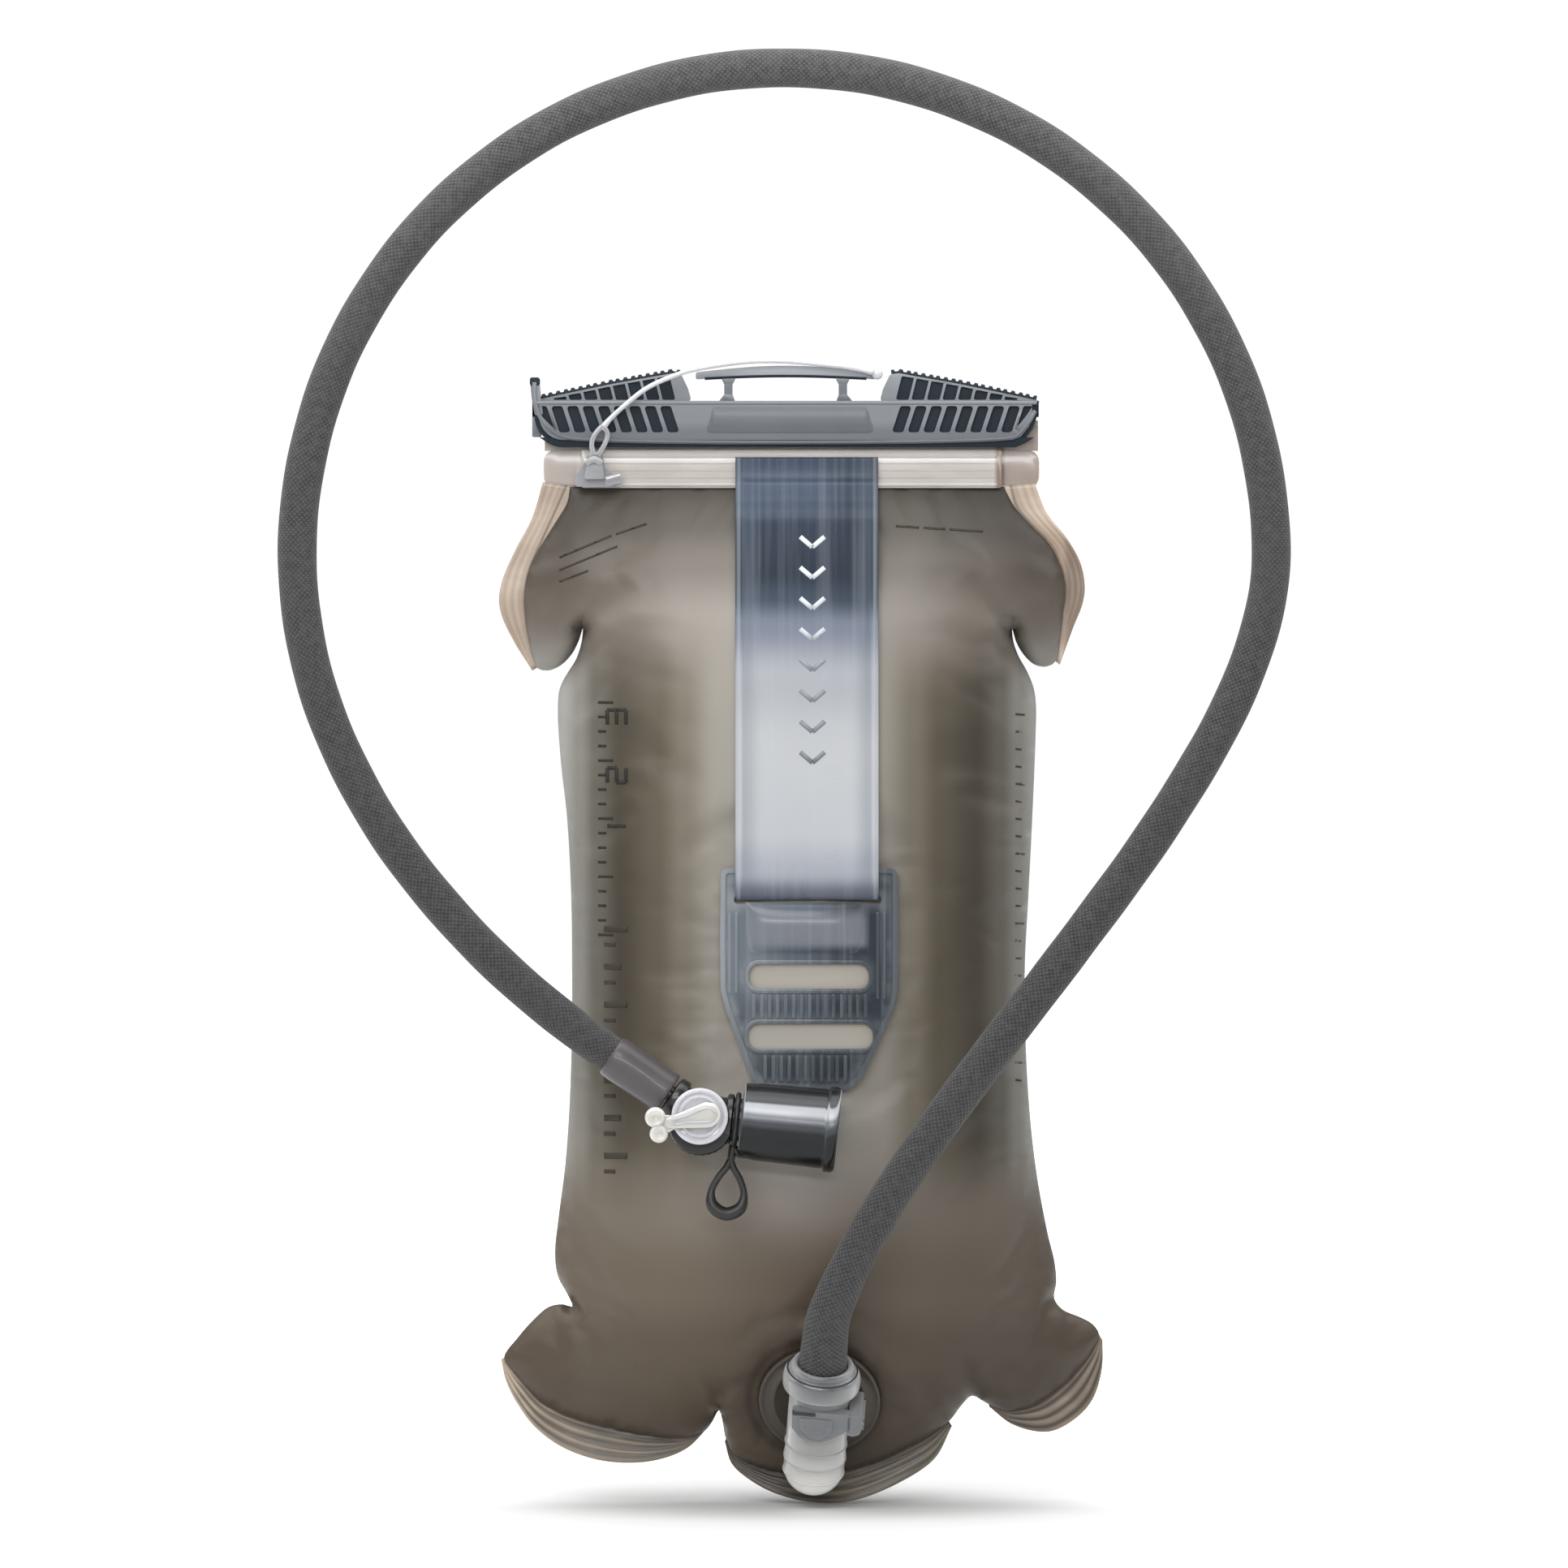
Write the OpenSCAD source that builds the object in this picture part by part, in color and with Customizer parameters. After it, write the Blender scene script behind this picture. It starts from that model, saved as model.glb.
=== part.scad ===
// Hydration bladder: a soft welded bag closed by a slide-on seal bar, with a plug-in drinking
// hose that ends in a shut-off bite valve. Origin at the centre of the hang slot, +Z up,
// -Y towards the front of the bag. Millimetres.

/* [Seal bar] */
// Length of the slide-on seal bar
bar_l = 175; // [174:0.5:180]
// Front-to-back thickness of the seal bar
bar_t = 14; // [13:0.5:16]
// Height of the channel part of the seal bar
bar_h = 16; // [15:0.5:18]
// Slanted ribs in each half of the grip
rib_n = 9; // [5:1:9]
// Length of the closed hang slot
slot_l = 36; // [30:1:38]
// Height of the hang slot
slot_h = 7; // [6:0.5:8]

/* [Mouth strips] */
// Length of the front mouth strip
front_strip_l = 145; // [130:1:150]
// Length of the back mouth strip
back_strip_l = 171; // [165:1:171]
// Height of the strip that shows under the seal bar
strip_h = 13; // [11:0.5:15]
// Radius of the bead along the top of each strip
bead_r = 1.9; // [1.6:0.1:2.0]

/* [Bag] */
// Distance of the bag's centre line from the hang slot
bag_x = 4; // [2:0.5:6]
// Front-to-back depth of the full bag
bag_d = 80; // [74:1:84]
// Thickness of the film
film_t = 0.8; // [0.6:0.1:1.0]
// Thickness of the welded margin
seam_t = 1.6; // [1.2:0.1:2.0]

/* [Strap] */
// Width of the handle strap
strap_w = 47; // [40:1:48]
// Thickness of the handle strap
strap_t = 1.2; // [1.0:0.1:1.4]
// Thickness of the ladder plate
plate_t = 2.2; // [1.8:0.1:2.4]

/* [Port] */
// Lean of the port away from the bag, in degrees
port_lean = 31; // [29:1:33]
// Outer radius of the port body
port_r = 10.5; // [10:0.1:11]
// Radius of the plug socket
socket_r = 6.0; // [5.9:0.05:6.2]
// Outer radius of the plug's collar
collar_r = 13.3; // [12.5:0.1:14]

/* [Hose] */
// Outer radius of the woven sleeve
sleeve_r = 6.7; // [6.4:0.1:7]
// Outer radius of the inner tube
tube_r = 5.0; // [4.9:0.1:5.2]
// Bore radius of the inner tube
tube_bore_r = 3.6; // [3.5:0.1:3.8]
// Radius of the hose's arch over the bag
arch_r = 167; // [160:1:172]

/* [Bite valve] */
// Radius of the shut-off dial
dial_r = 9.6; // [9:0.1:11.5]
// Angle of the dial's tail below the level
tail_dip = 12.3; // [5:0.1:20]
// Radius of the dust cover at its open end
cover_r = 12.7; // [12.5:0.1:13.5]
// Length of the dust cover
cover_l = 33; // [31:1:34]

/* [Hidden] */
$fn = 48;
gap = 0.3;   // clearance between neighbouring pieces that don't move
cut = 0.1;   // overshoot of cutting shapes

// Levels of the seal bar, measured from the hang slot
bar_top = -4;
bar_foot = bar_top - bar_h;
chamber_top = -9.5;
chamber_foot = -16.5;
chamber_hw = 4.3;
throat_hw = 2.3;
web_t = 4;
stop_t = 3.2;    // closed end of the channel
strip_x = 2;     // centre of the mouth strips
bead_z = -12.5;
strip_top = bar_foot - 1;
strip_foot = strip_top - strip_h;

// Levels of the bag
bag_top = strip_foot - gap;
bag_foot = -373;
bag_mid = (bag_top + bag_foot) / 2;
bag_half = (bag_top - bag_foot) / 2;
neck_d = 3.4;
// Half widths at the neck, shoulder, chest, waist, hip and lower corners; eased between
bag_widths = [[bag_top, 75.5], [-70, 90], [-104, 81], [-212, 78.5], [-300, 85], [-333, 96]];
corner_z = -333;
foot_w = 42;   // half width of the flat run along the bottom

// Strap and ladder plate
strap_x = 7;
plate_y = -bag_d / 2 - 2.4;       // back face of the plate
plate_top = -165;
plate_foot = -241;
slot_1_z = -176;
window_z = [-202, -222];
window_l = 36;
window_h = 6;

// Port frame: centre of the plug's collar
port_at = [12.3, -38.6, -341];
port_roll = 5;
port_foot = -45;
seat_z = -27;
latch_lo = -17.4;
latch_hi = -6.4;
throat_z = -34;
film_back = 12.6; // distance of the film behind the port's axis
hose_start = 0.6;
lead_l = 24;      // straight end of the hose in the plug

// Valve frame: centre of the shut-off dial
valve_at = [-29.4, -56, -249.8];
mouth_dip = 5.9;  // mouthpiece points this far below +X
hose_dip = 34.5;  // the hose arrives at this angle below +X
core_r = 7;
groove_r = 5.6;   // floor of the shut-off core's two seal grooves
groove_w = 1.5;
hose_stop = 13;   // distance of the hose's end from the dial's axis
cuff_l = 25;      // straight end of the hose inside its cuff

arch_at = [-0.5, -50, -57.5];
joint_gap = 6;    // gap left at each flex point of the hose

// ---------- helpers ----------
function ease(t) = (1 - cos(180 * t)) / 2;
function mix(a, b, t) = a + (b - a) * t;
function unit(v) = v / norm(v);
function flip(list) = [for (i = [len(list) - 1:-1:0]) list[i]];
function eased(rows, z, i = 0) =
    i >= len(rows) - 2 || z >= rows[i + 1][0]
        ? mix(rows[i][1], rows[i + 1][1], ease((rows[i][0] - z) / (rows[i][0] - rows[i + 1][0])))
        : eased(rows, z, i + 1);

// Half width and half depth of the full bag at a height
function bag_w(z) =
    z > corner_z ? eased(bag_widths, z)
        : mix(foot_w, bag_widths[5][1], sqrt(max(0, 1 - pow((corner_z - z) / (corner_z - bag_foot), 2))));
function bag_dome(z) =
    let (s = min(1, abs(z - bag_mid) / bag_half))
    bag_d / 2 * (z > bag_mid ? pow(1 - pow(s, 2.4), 0.75) : pow(1 - pow(s, 3), 0.72));
function bag_y(z) =
    max(film_t + 0.1, bag_dome(z) + (z > bag_mid ? neck_d * pow((z - bag_mid) / bag_half, 6) : 0));

// Faces of a tube skin of n-sided rings, with m rings; the inner skin's points follow the outer's
function shell_faces(m, n, closed) =
    let (last = closed ? n - 1 : n - 2, inner = m * n)
    [for (i = [0:m - 2], j = [0:last])
        let (k = (j + 1) % n)
        each [[i * n + j, (i + 1) * n + j, (i + 1) * n + k], [i * n + j, (i + 1) * n + k, i * n + k],
              [inner + i * n + j, inner + (i + 1) * n + k, inner + (i + 1) * n + j],
              [inner + i * n + j, inner + i * n + k, inner + (i + 1) * n + k]]];
function end_faces(m, n, closed) =
    let (last = closed ? n - 1 : n - 2, inner = m * n, top = (m - 1) * n)
    [for (j = [0:last])
        let (k = (j + 1) % n)
        each [[j, k, inner + k], [j, inner + k, inner + j],
              [top + j, inner + top + k, top + k], [top + j, inner + top + j, inner + top + k]]];
function side_faces(m, n) =
    let (inner = m * n)
    [for (i = [0:m - 2])
        let (a = i * n, b = (i + 1) * n, c = i * n + n - 1, d = (i + 1) * n + n - 1)
        each [[a, inner + b, b], [a, inner + a, inner + b], [c, d, inner + d], [c, inner + d, inner + c]]];

// Hollow pipe of n-sided rings along a path that never runs along Y
module pipe(path, r_out, r_in, n) {
    m = len(path);
    function tangent(i) = unit(path[min(i + 1, m - 1)] - path[max(i - 1, 0)]);
    function ring(i, r) =
        let (t = tangent(i), u = unit([0, 1, 0] - t[1] * t), v = cross(t, u))
        [for (j = [0:n - 1]) path[i] + r * (cos(360 * j / n) * u + sin(360 * j / n) * v)];
    polyhedron(
        concat([for (i = [0:m - 1]) each ring(i, r_out)], [for (i = [0:m - 1]) each ring(i, r_in)]),
        concat(shell_faces(m, n, true), end_faces(m, n, true)));
}

// Solid cord along a path
module cord(path, r, n) {
    m = len(path);
    function tangent(i) = unit(path[min(i + 1, m - 1)] - path[max(i - 1, 0)]);
    function ring(i) =
        let (t = tangent(i), u = unit([0, 1, 0] - t[1] * t), v = cross(t, u))
        [for (j = [0:n - 1]) path[i] + r * (cos(360 * j / n) * u + sin(360 * j / n) * v)];
    polyhedron(
        [for (i = [0:m - 1]) each ring(i)],
        concat(
            [for (i = [0:m - 2], j = [0:n - 1])
                let (k = (j + 1) % n)
                each [[i * n + j, (i + 1) * n + j, (i + 1) * n + k], [i * n + j, (i + 1) * n + k, i * n + k]]],
            [[for (j = [0:n - 1]) j], [for (j = [n - 1:-1:0]) (m - 1) * n + j]]));
}

module box(x, y, z) {
    translate([x[0], y[0], z[0]]) cube([x[1] - x[0], y[1] - y[0], z[1] - z[0]]);
}
// Cylinder along Y, from y0 to y1
module y_rod(r, y0, y1) { translate([0, y0, 0]) rotate([-90, 0, 0]) cylinder(r = r, h = y1 - y0); }
// Cylinder along X, from x0 to x1
module x_rod(r, x0, x1) { translate([x0, 0, 0]) rotate([0, 90, 0]) cylinder(r = r, h = x1 - x0); }
// Flat shape in X and Z, spread from y0 to y1
module slab(y0, y1) { translate([0, y1, 0]) rotate([90, 0, 0]) linear_extrude(y1 - y0) children(); }
// Profile in Y and Z, spread from x0 to x1
module bar_of(x0, x1) { translate([x0, 0, 0]) rotate([90, 0, 90]) linear_extrude(x1 - x0) children(); }
module ring_of(r_mid, r_wire) { rotate_extrude() translate([r_mid, 0]) circle(r = r_wire, $fn = 24); }
module rounded(x, z, r) {
    hull() for (i = [0, 1], j = [0, 1])
        translate([i ? x[1] - r : x[0] + r, j ? z[1] - r : z[0] + r]) circle(r = r, $fn = 24);
}
// Helical wire spring along +Z
module coil(r, wire, h, turns) {
    steps = 12 * turns;
    path = [for (i = [0:steps])
        [r * cos(30 * i), r * sin(30 * i), wire + (h - 2 * wire) * i / steps]];
    n = 6;
    function ring(i) =
        let (a = 30 * i, u = [cos(a), sin(a), 0])
        [for (j = [0:n - 1]) path[i] + wire * (cos(60 * j) * u + sin(60 * j) * [0, 0, 1])];
    polyhedron(
        [for (i = [0:steps]) each ring(i)],
        concat(
            [for (i = [0:steps - 1], j = [0:n - 1])
                let (k = (j + 1) % n)
                each [[i * n + j, (i + 1) * n + j, (i + 1) * n + k], [i * n + j, (i + 1) * n + k, i * n + k]]],
            [[for (j = [0:n - 1]) j], [for (j = [n - 1:-1:0]) steps * n + j]]));
}

// ---------- seal bar ----------
wing_in = 36;      // inner end of each grip wing
wing_z = 5;        // height of the wing at its inner end
wing_out_z = -4.5; // height at its outer end
rib_w = 1.6;
pocket = 1.5;
wing_pocket = 1.1;
rib_lean = 3.5;    // sideways run of a rib over the height of the bar
post_w = 3;
beam_l = 62;
beam_h = 2.4;
beam_rise = 2;

function wing_top(x) = mix(wing_z, wing_out_z, (x - wing_in) / (bar_l / 2 - wing_in));
// Raised wing above the channel
module bar_wing(sgn) {
    slab(-web_t / 2, web_t / 2)
        polygon([[sgn * wing_in, bar_top - 1], [sgn * bar_l / 2, bar_top - 1],
                 [sgn * bar_l / 2, bar_top - 0.5], [sgn * wing_in, wing_z]]);
}
// Slanted pockets in the wing, one row between each pair of ribs
module wing_pockets(sgn, y0, y1) {
    span = bar_l / 2 - wing_in - 3;
    for (i = [0:rib_n - 4]) {
        x0 = wing_in + 1 + span * i / rib_n + rib_w / 2;
        x1 = wing_in + 1 + span * (i + 1) / rib_n - rib_w / 2;
        slab(y0, y1)
            polygon([[sgn * x0, bar_top + 0.4], [sgn * x1, bar_top + 0.4],
                     [sgn * (x1 + 0.8), wing_top(x1) - 0.9], [sgn * (x0 + 0.8), wing_top(x0) - 1.1]]);
    }
}
module rib_pockets(sgn, z_lo, z_hi, y0, y1) {
    span = bar_l / 2 - wing_in - 3;
    for (i = [0:rib_n - 1]) {
        x0 = wing_in + 1 + span * i / rib_n + rib_w / 2;
        x1 = wing_in + 1 + span * (i + 1) / rib_n - rib_w / 2;
        slab(y0, y1)
            polygon([[sgn * (x0 - rib_lean), z_lo], [sgn * (x1 - rib_lean), z_lo],
                     [sgn * x1, z_hi], [sgn * x0, z_hi]]);
    }
}
module seal_bar() {
    color([0.55, 0.60, 0.65]) union() {
        difference() {
            union() {
                box([-bar_l / 2, bar_l / 2], [-bar_t / 2, bar_t / 2], [bar_foot, bar_top]);
                bar_wing(1);
                bar_wing(-1);
                // Finger fin at the closed end
                box([-bar_l / 2, -bar_l / 2 + stop_t], [-3, 3], [bar_top - 2, 3]);
            }
            box([-bar_l / 2 + stop_t, bar_l / 2 + cut], [-chamber_hw, chamber_hw], [chamber_foot, chamber_top]);
            box([-bar_l / 2 + stop_t, bar_l / 2 + cut], [-throat_hw, throat_hw], [bar_foot - cut, chamber_foot + cut]);
            // Raked lower corners
            for (sgn = [-1, 1])
                slab(-bar_t, bar_t)
                    polygon([[sgn * (bar_l / 2 + cut), -9], [sgn * (bar_l / 2 + cut), bar_foot - cut],
                             [sgn * (bar_l / 2 - 8), bar_foot - cut], [sgn * (bar_l / 2 - 3.6), -16.4]]);
            for (sgn = [-1, 1], side = [-1, 1])
                rib_pockets(sgn, bar_foot + 4.5, bar_top - 1.2,
                            side < 0 ? -bar_t / 2 - cut : bar_t / 2 - pocket,
                            side < 0 ? -bar_t / 2 + pocket : bar_t / 2 + cut);
            for (sgn = [-1, 1], side = [-1, 1])
                wing_pockets(sgn, side < 0 ? -web_t / 2 - cut : web_t / 2 - wing_pocket,
                             side < 0 ? -web_t / 2 + wing_pocket : web_t / 2 + cut);
        }
        // Hanger: two posts and an arched beam with free ends
        for (sgn = [-1, 1])
            box([sgn * (slot_l + post_w) / 2 - post_w / 2, sgn * (slot_l + post_w) / 2 + post_w / 2],
                [-2.5, 2.5], [bar_top - 1, slot_h / 2 + 1]);
        slab(-2.5, 2.5)
            polygon(concat([for (i = [0:12]) [mix(-beam_l / 2, beam_l / 2, i / 12),
                                              slot_h / 2 + beam_h + beam_rise * sin(15 * i)]],
                           [[beam_l / 2, slot_h / 2], [-beam_l / 2, slot_h / 2]]));
    }
}

// ---------- mouth strips ----------
module mouth_strip(side, length, web) {
    color([0.86, 0.83, 0.80]) union() {
        bar_of(strip_x - length / 2, strip_x + length / 2)
            polygon([[side * 0.15, strip_foot], [side * 3.4, strip_foot], [side * 3.4, strip_top],
                     [side * web, strip_top], [side * web, bead_z], [side * 0.15, bead_z]]);
        translate([strip_x, side * (bead_r + 0.15), bead_z]) x_rod(bead_r, -length / 2, length / 2);
    }
}
module mouth_strip_front() { mouth_strip(-1, front_strip_l, 1.5); }
module mouth_strip_back() { mouth_strip(1, back_strip_l, 1.5); }

// ---------- bag ----------
film_rows = 20;
film_cols = 20;
bulge = 2 / 2.3;   // superellipse exponent of the cross-section
function film_point(z, a, t, side) =
    [bag_x + (bag_w(z) - t) * sign(cos(a)) * pow(abs(cos(a)), bulge),
     side * (0.1 + max(0, bag_y(z) - t) * pow(abs(sin(a)), bulge)), z];
function film_row_z(i) = bag_mid + bag_half * cos(180 * i / film_rows);

module bag_film(side) {
    m = film_rows + 1;
    n = film_cols + 1;
    // Columns run against the clock for the back film, so that its faces also point outwards
    function col(j) = side < 0 ? 180 * j / film_cols : 180 - 180 * j / film_cols;
    polyhedron(
        concat([for (i = [0:m - 1], j = [0:n - 1]) film_point(film_row_z(i), col(j), 0, side)],
               [for (i = [0:m - 1], j = [0:n - 1]) film_point(film_row_z(i), col(j), film_t, side)]),
        [for (f = concat(shell_faces(m, n, false), end_faces(m, n, false), side_faces(m, n))) flip(f)]);
}
module bag_film_front() {
    color([0.43, 0.40, 0.36]) difference() {
        bag_film(-1);
        port_frame() translate([0, 0, throat_z]) y_rod(5.6, film_back - 8, film_back + 14);
    }
}
module bag_film_back() { color([0.40, 0.37, 0.34]) bag_film(1); }

// Welded margins: flat shapes outside the full bag's outline
function arc_points(c, rx, rz, a0, a1, n) =
    [for (i = [0:n]) let (a = mix(a0, a1, i / n)) [c[0] + rx * cos(a), c[1] + rz * sin(a)]];
module bag_outline(extra) {
    // The same rows as the films, so that the margins start right beside them
    rows = [for (i = [0:film_rows]) film_row_z(i)];
    points = concat([[bag_w(bag_top) + extra, bag_top + extra]],
                    [for (z = rows) [bag_w(z) + extra, z]],
                    [[bag_w(bag_foot) + extra, bag_foot - extra]]);
    polygon(concat([for (p = points) [bag_x + p[0], p[1]]], flip([for (p = points) [bag_x - p[0], p[1]]])));
}
module shoulder_seam(sgn) {
    color([0.80, 0.74, 0.68]) slab(-seam_t / 2, seam_t / 2) difference() {
        polygon(concat([[strip_x + sgn * 70, bag_top - 1], [strip_x + sgn * 85, bag_top - 1]],
                       [for (i = [0:10]) let (t = i / 10)
                           [strip_x + sgn * (85 + 15.5 * ease(t)), mix(bag_top - 6, -72, t)]],
                       [[strip_x + sgn * 98, -80], [strip_x + sgn * 88, -97], [strip_x + sgn * 70, -97]]));
        bag_outline(gap);
    }
}
module shoulder_seam_left() { shoulder_seam(-1); }
module shoulder_seam_right() { shoulder_seam(1); }
module bottom_seam() {
    color([0.52, 0.46, 0.40]) slab(-seam_t / 2, seam_t / 2) difference() {
        union() {
            polygon(arc_points([-60, -334], 38.2, 36, 0, 356, 60));
            polygon(arc_points([19.5, -345], 40, 39, 0, 356, 60));
            polygon(arc_points([83, -337], 26.2, 22.5, 0, 356, 60));
            polygon([[-70, -320], [90, -320], [70, -350], [-40, -350]]);
        }
        bag_outline(gap);
    }
}

// ---------- strap ----------
// Band of even thickness along a profile of [y, z] points
module band(path, t) {
    m = len(path);
    function normal(i) =
        let (d = unit(path[min(i + 1, m - 1)] - path[max(i - 1, 0)])) [-d[1], d[0]];
    polygon(concat([for (i = [0:m - 1]) path[i] + normal(i) * t / 2],
                   [for (i = [m - 1:-1:0]) path[i] - normal(i) * t / 2]));
}
lift = 1.4;  // centre of the strap in front of the film
module handle_strap() {
    path = concat(
        [[-4.6, strip_top - 2], [-4.8, bag_top + 4]],
        [for (i = [0:14]) let (z = mix(bag_top - 3, -156, i / 14)) [-bag_y(z) - lift, z]],
        [[plate_y - plate_t - 1.2, plate_top + 2], [plate_y - plate_t - 1.4, slot_1_z + 4],
         [plate_y - plate_t / 2, slot_1_z], [-bag_d / 2 - 1.3, slot_1_z - 4], [-bag_d / 2 - 1.3, -232]]);
    color([0.62, 0.66, 0.70]) bar_of(strap_x - strap_w / 2, strap_x + strap_w / 2) band(path, strap_t);
}
module strap_ladder_plate() {
    color([0.35, 0.42, 0.48]) slab(plate_y - plate_t, plate_y) difference() {
        polygon([[strap_x - 30, plate_top], [strap_x + 31, plate_top], [strap_x + 31, -208],
                 [strap_x + 21, plate_foot + 4], [strap_x + 16, plate_foot], [strap_x - 15, plate_foot],
                 [strap_x - 20, plate_foot + 4], [strap_x - 30, -208]]);
        rounded([strap_x - strap_w / 2 - 1, strap_x + strap_w / 2 + 1], [slot_1_z - 3.8, slot_1_z + 3.8], 2);
        for (z = window_z)
            rounded([strap_x - window_l / 2, strap_x + window_l / 2],
                    [z - window_h / 2, z + window_h / 2], 2.8);
    }
}

// ---------- tether ----------
clip_x = -65;
module tether_clip() {
    color([0.88, 0.88, 0.90]) union() {
        box([clip_x - 6, clip_x + 8], [-6.4, -3.8], [strip_foot + 1, strip_top - 0.4]);
        slab(-10.6, -3.8) polygon([[clip_x - 3, strip_foot + 4], [clip_x + 6, strip_foot + 2],
                                   [clip_x + 1, strip_top - 0.4], [clip_x - 2.5, strip_top - 0.4]]);
        translate([clip_x - 1, 0, strip_top - 1.5]) y_rod(2.6, -10.6, -7.6);
        translate([clip_x - 1, 0, bar_foot + 5]) y_rod(2.2, -10.6, -7.6);
        box([clip_x - 2.4, clip_x + 0.4], [-10.6, -7.6], [strip_top - 1.5, bar_foot + 5]);
    }
}
function bow(p, q, r, n) = [for (i = [0:n]) let (t = i / n) mix(mix(p, q, t), mix(q, r, t), t)];
module tether_cord() {
    rise = bow([clip_x + 2, -9.1, bar_foot + 7], [clip_x + 17, -9.5, 1], [-34, -8, 5.4], 8);
    over = bow([-34, -8, 5.4], [-4, -5, 11.6], [30.5, -4.4, 5.6], 8);
    color([0.80, 0.81, 0.83]) cord(concat(rise, [for (i = [1:8]) over[i]]), 0.9, 8);
}

// ---------- port ----------
module port_frame() {
    translate(port_at) rotate([0, port_roll, 0]) rotate([port_lean, 0, 0]) children();
}
module port_body() {
    color([0.86, 0.87, 0.88]) port_frame() difference() {
        union() {
            translate([0, 0, port_foot + port_r]) cylinder(r = port_r, h = -3 - port_foot - port_r);
            translate([0, 0, port_foot + port_r]) sphere(r = port_r);
            translate([0, 0, throat_z]) y_rod(5.2, 0, film_back + 3);
        }
        translate([0, 0, seat_z + 2]) cylinder(r = socket_r, h = 40);
        translate([0, 0, seat_z - 1]) cylinder(r = 4.2, h = 6);
        translate([0, 0, seat_z - 14.5]) cylinder(r = 6.2, h = 14.5);
        translate([0, 0, throat_z]) y_rod(3.6, 0, film_back + 4);
        box([-12, 12], [-12, -7.6], [latch_lo - gap, latch_hi + gap]);
        box([8.6, 12], [-12, 5.4], [latch_lo - gap, latch_hi + gap]);
    }
}
module port_flange() {
    color([0.36, 0.33, 0.30]) port_frame() translate([0, 0, -15]) difference() {
        y_rod(21, film_back - 1.9, film_back - 0.4);
        translate([0, 0, throat_z + 15]) y_rod(5.2 + gap, film_back - 3, film_back + 1);
        // Room for the plug's collar
        translate([0, 0, 12]) cylinder(r = collar_r + 0.6, h = 12);
    }
}
module port_poppet() {
    color([0.9, 0.9, 0.9]) port_frame() translate([0, 0, seat_z - 6.4]) union() {
        cylinder(r = 5.6, h = 1.5);
        translate([0, 0, 1.5]) cylinder(r1 = 5.6, r2 = 3.6, h = 2.4);
        translate([0, 0, -3]) cylinder(r = 2, h = 4);
    }
}
module poppet_spring() {
    color([0.7, 0.7, 0.7]) port_frame() translate([0, 0, seat_z - 14.4]) coil(4, 0.5, 7.9, 4);
}
module release_button() {
    color([0.66, 0.68, 0.70]) port_frame() union() {
        slab(-12, -8)
            polygon([[-8.6, latch_hi], [11, latch_hi], [11, latch_lo + 5.5], [3.5, latch_lo],
                     [-5, latch_lo], [-8.6, latch_lo + 5]]);
        box([10.6, 15], [-12, 4], [latch_lo + 4, latch_hi]);
        for (z = [-12, -10, -8]) translate([15, 2, z]) rotate([90, 0, 0]) cylinder(r = 0.6, h = 12, $fn = 16);
    }
}
module button_spring() {
    color([0.7, 0.7, 0.7]) port_frame() translate([8.65, 0, -9]) rotate([0, 90, 0]) coil(1.8, 0.25, 1.9, 2);
}

// ---------- plug ----------
module plug_body() {
    color([0.93, 0.93, 0.93]) port_frame() difference() {
        union() {
            translate([0, 0, -23]) cylinder(r = socket_r - 0.4, h = 22);
            translate([0, 0, -2.4]) cylinder(r = collar_r, h = 6);
            translate([0, 0, 3.6]) cylinder(r1 = collar_r, r2 = collar_r - 1.5, h = 3.4);
            translate([0, 0, -29]) cylinder(r = 2.6, h = 8);
        }
        translate([0, 0, hose_start - 0.2]) difference() {
            cylinder(r = 8.5, h = 8);
            translate([0, 0, -cut]) cylinder(r = tube_bore_r - 0.2, h = 9);
        }
        translate([0, 0, -30]) cylinder(r = 1.8, h = 60);
        translate([0, 0, -20]) difference() {
            cylinder(r = 7, h = 2.2);
            translate([0, 0, -1]) cylinder(r = 4.1, h = 5);
        }
    }
}
module plug_o_ring() {
    color([0.15, 0.15, 0.15]) port_frame() translate([0, 0, -18.9]) ring_of(5.02, 0.9);
}

// ---------- hose ----------
port_axis = [sin(port_roll) * cos(port_lean), -sin(port_lean), cos(port_roll) * cos(port_lean)];
hose_dir = [cos(hose_dip), 0, -sin(hose_dip)];
function bezier(p, t) =
    pow(1 - t, 3) * p[0] + 3 * t * pow(1 - t, 2) * p[1] + 3 * t * t * (1 - t) * p[2] + pow(t, 3) * p[3];
right_leg = [port_at + port_axis * lead_l, port_at + port_axis * (lead_l + 90) + [18, 0, 0],
             arch_at + [arch_r, 0, -80], arch_at + [arch_r, 0, 0]];
left_leg = [arch_at + [-arch_r, 0, 0], arch_at + [-arch_r, 0, -75],
            valve_at - hose_dir * (hose_stop + cuff_l + 62), valve_at - hose_dir * (hose_stop + cuff_l)];
flex_right = 0.50;  // where each leg bends, along its curve
flex_left = 0.50;
half_gap_right = joint_gap / 2 / 370;
half_gap_left = joint_gap / 2 / 220;
lower_path = concat([port_at + port_axis * hose_start],
                    [for (i = [0:14]) bezier(right_leg, (flex_right - half_gap_right) * i / 14)]);
arch_path = concat([for (i = [0:9]) bezier(right_leg, mix(flex_right + half_gap_right, 1, i / 9))],
                   [for (i = [1:29]) arch_at + arch_r * [cos(180 * i / 30), 0, sin(180 * i / 30)]],
                   [for (i = [0:9]) bezier(left_leg, mix(0, flex_left - half_gap_left, i / 9))]);
upper_path = concat([for (i = [0:11]) bezier(left_leg, mix(flex_left + half_gap_left, 1, i / 11))],
                    [valve_at - hose_dir * hose_stop]);

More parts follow.
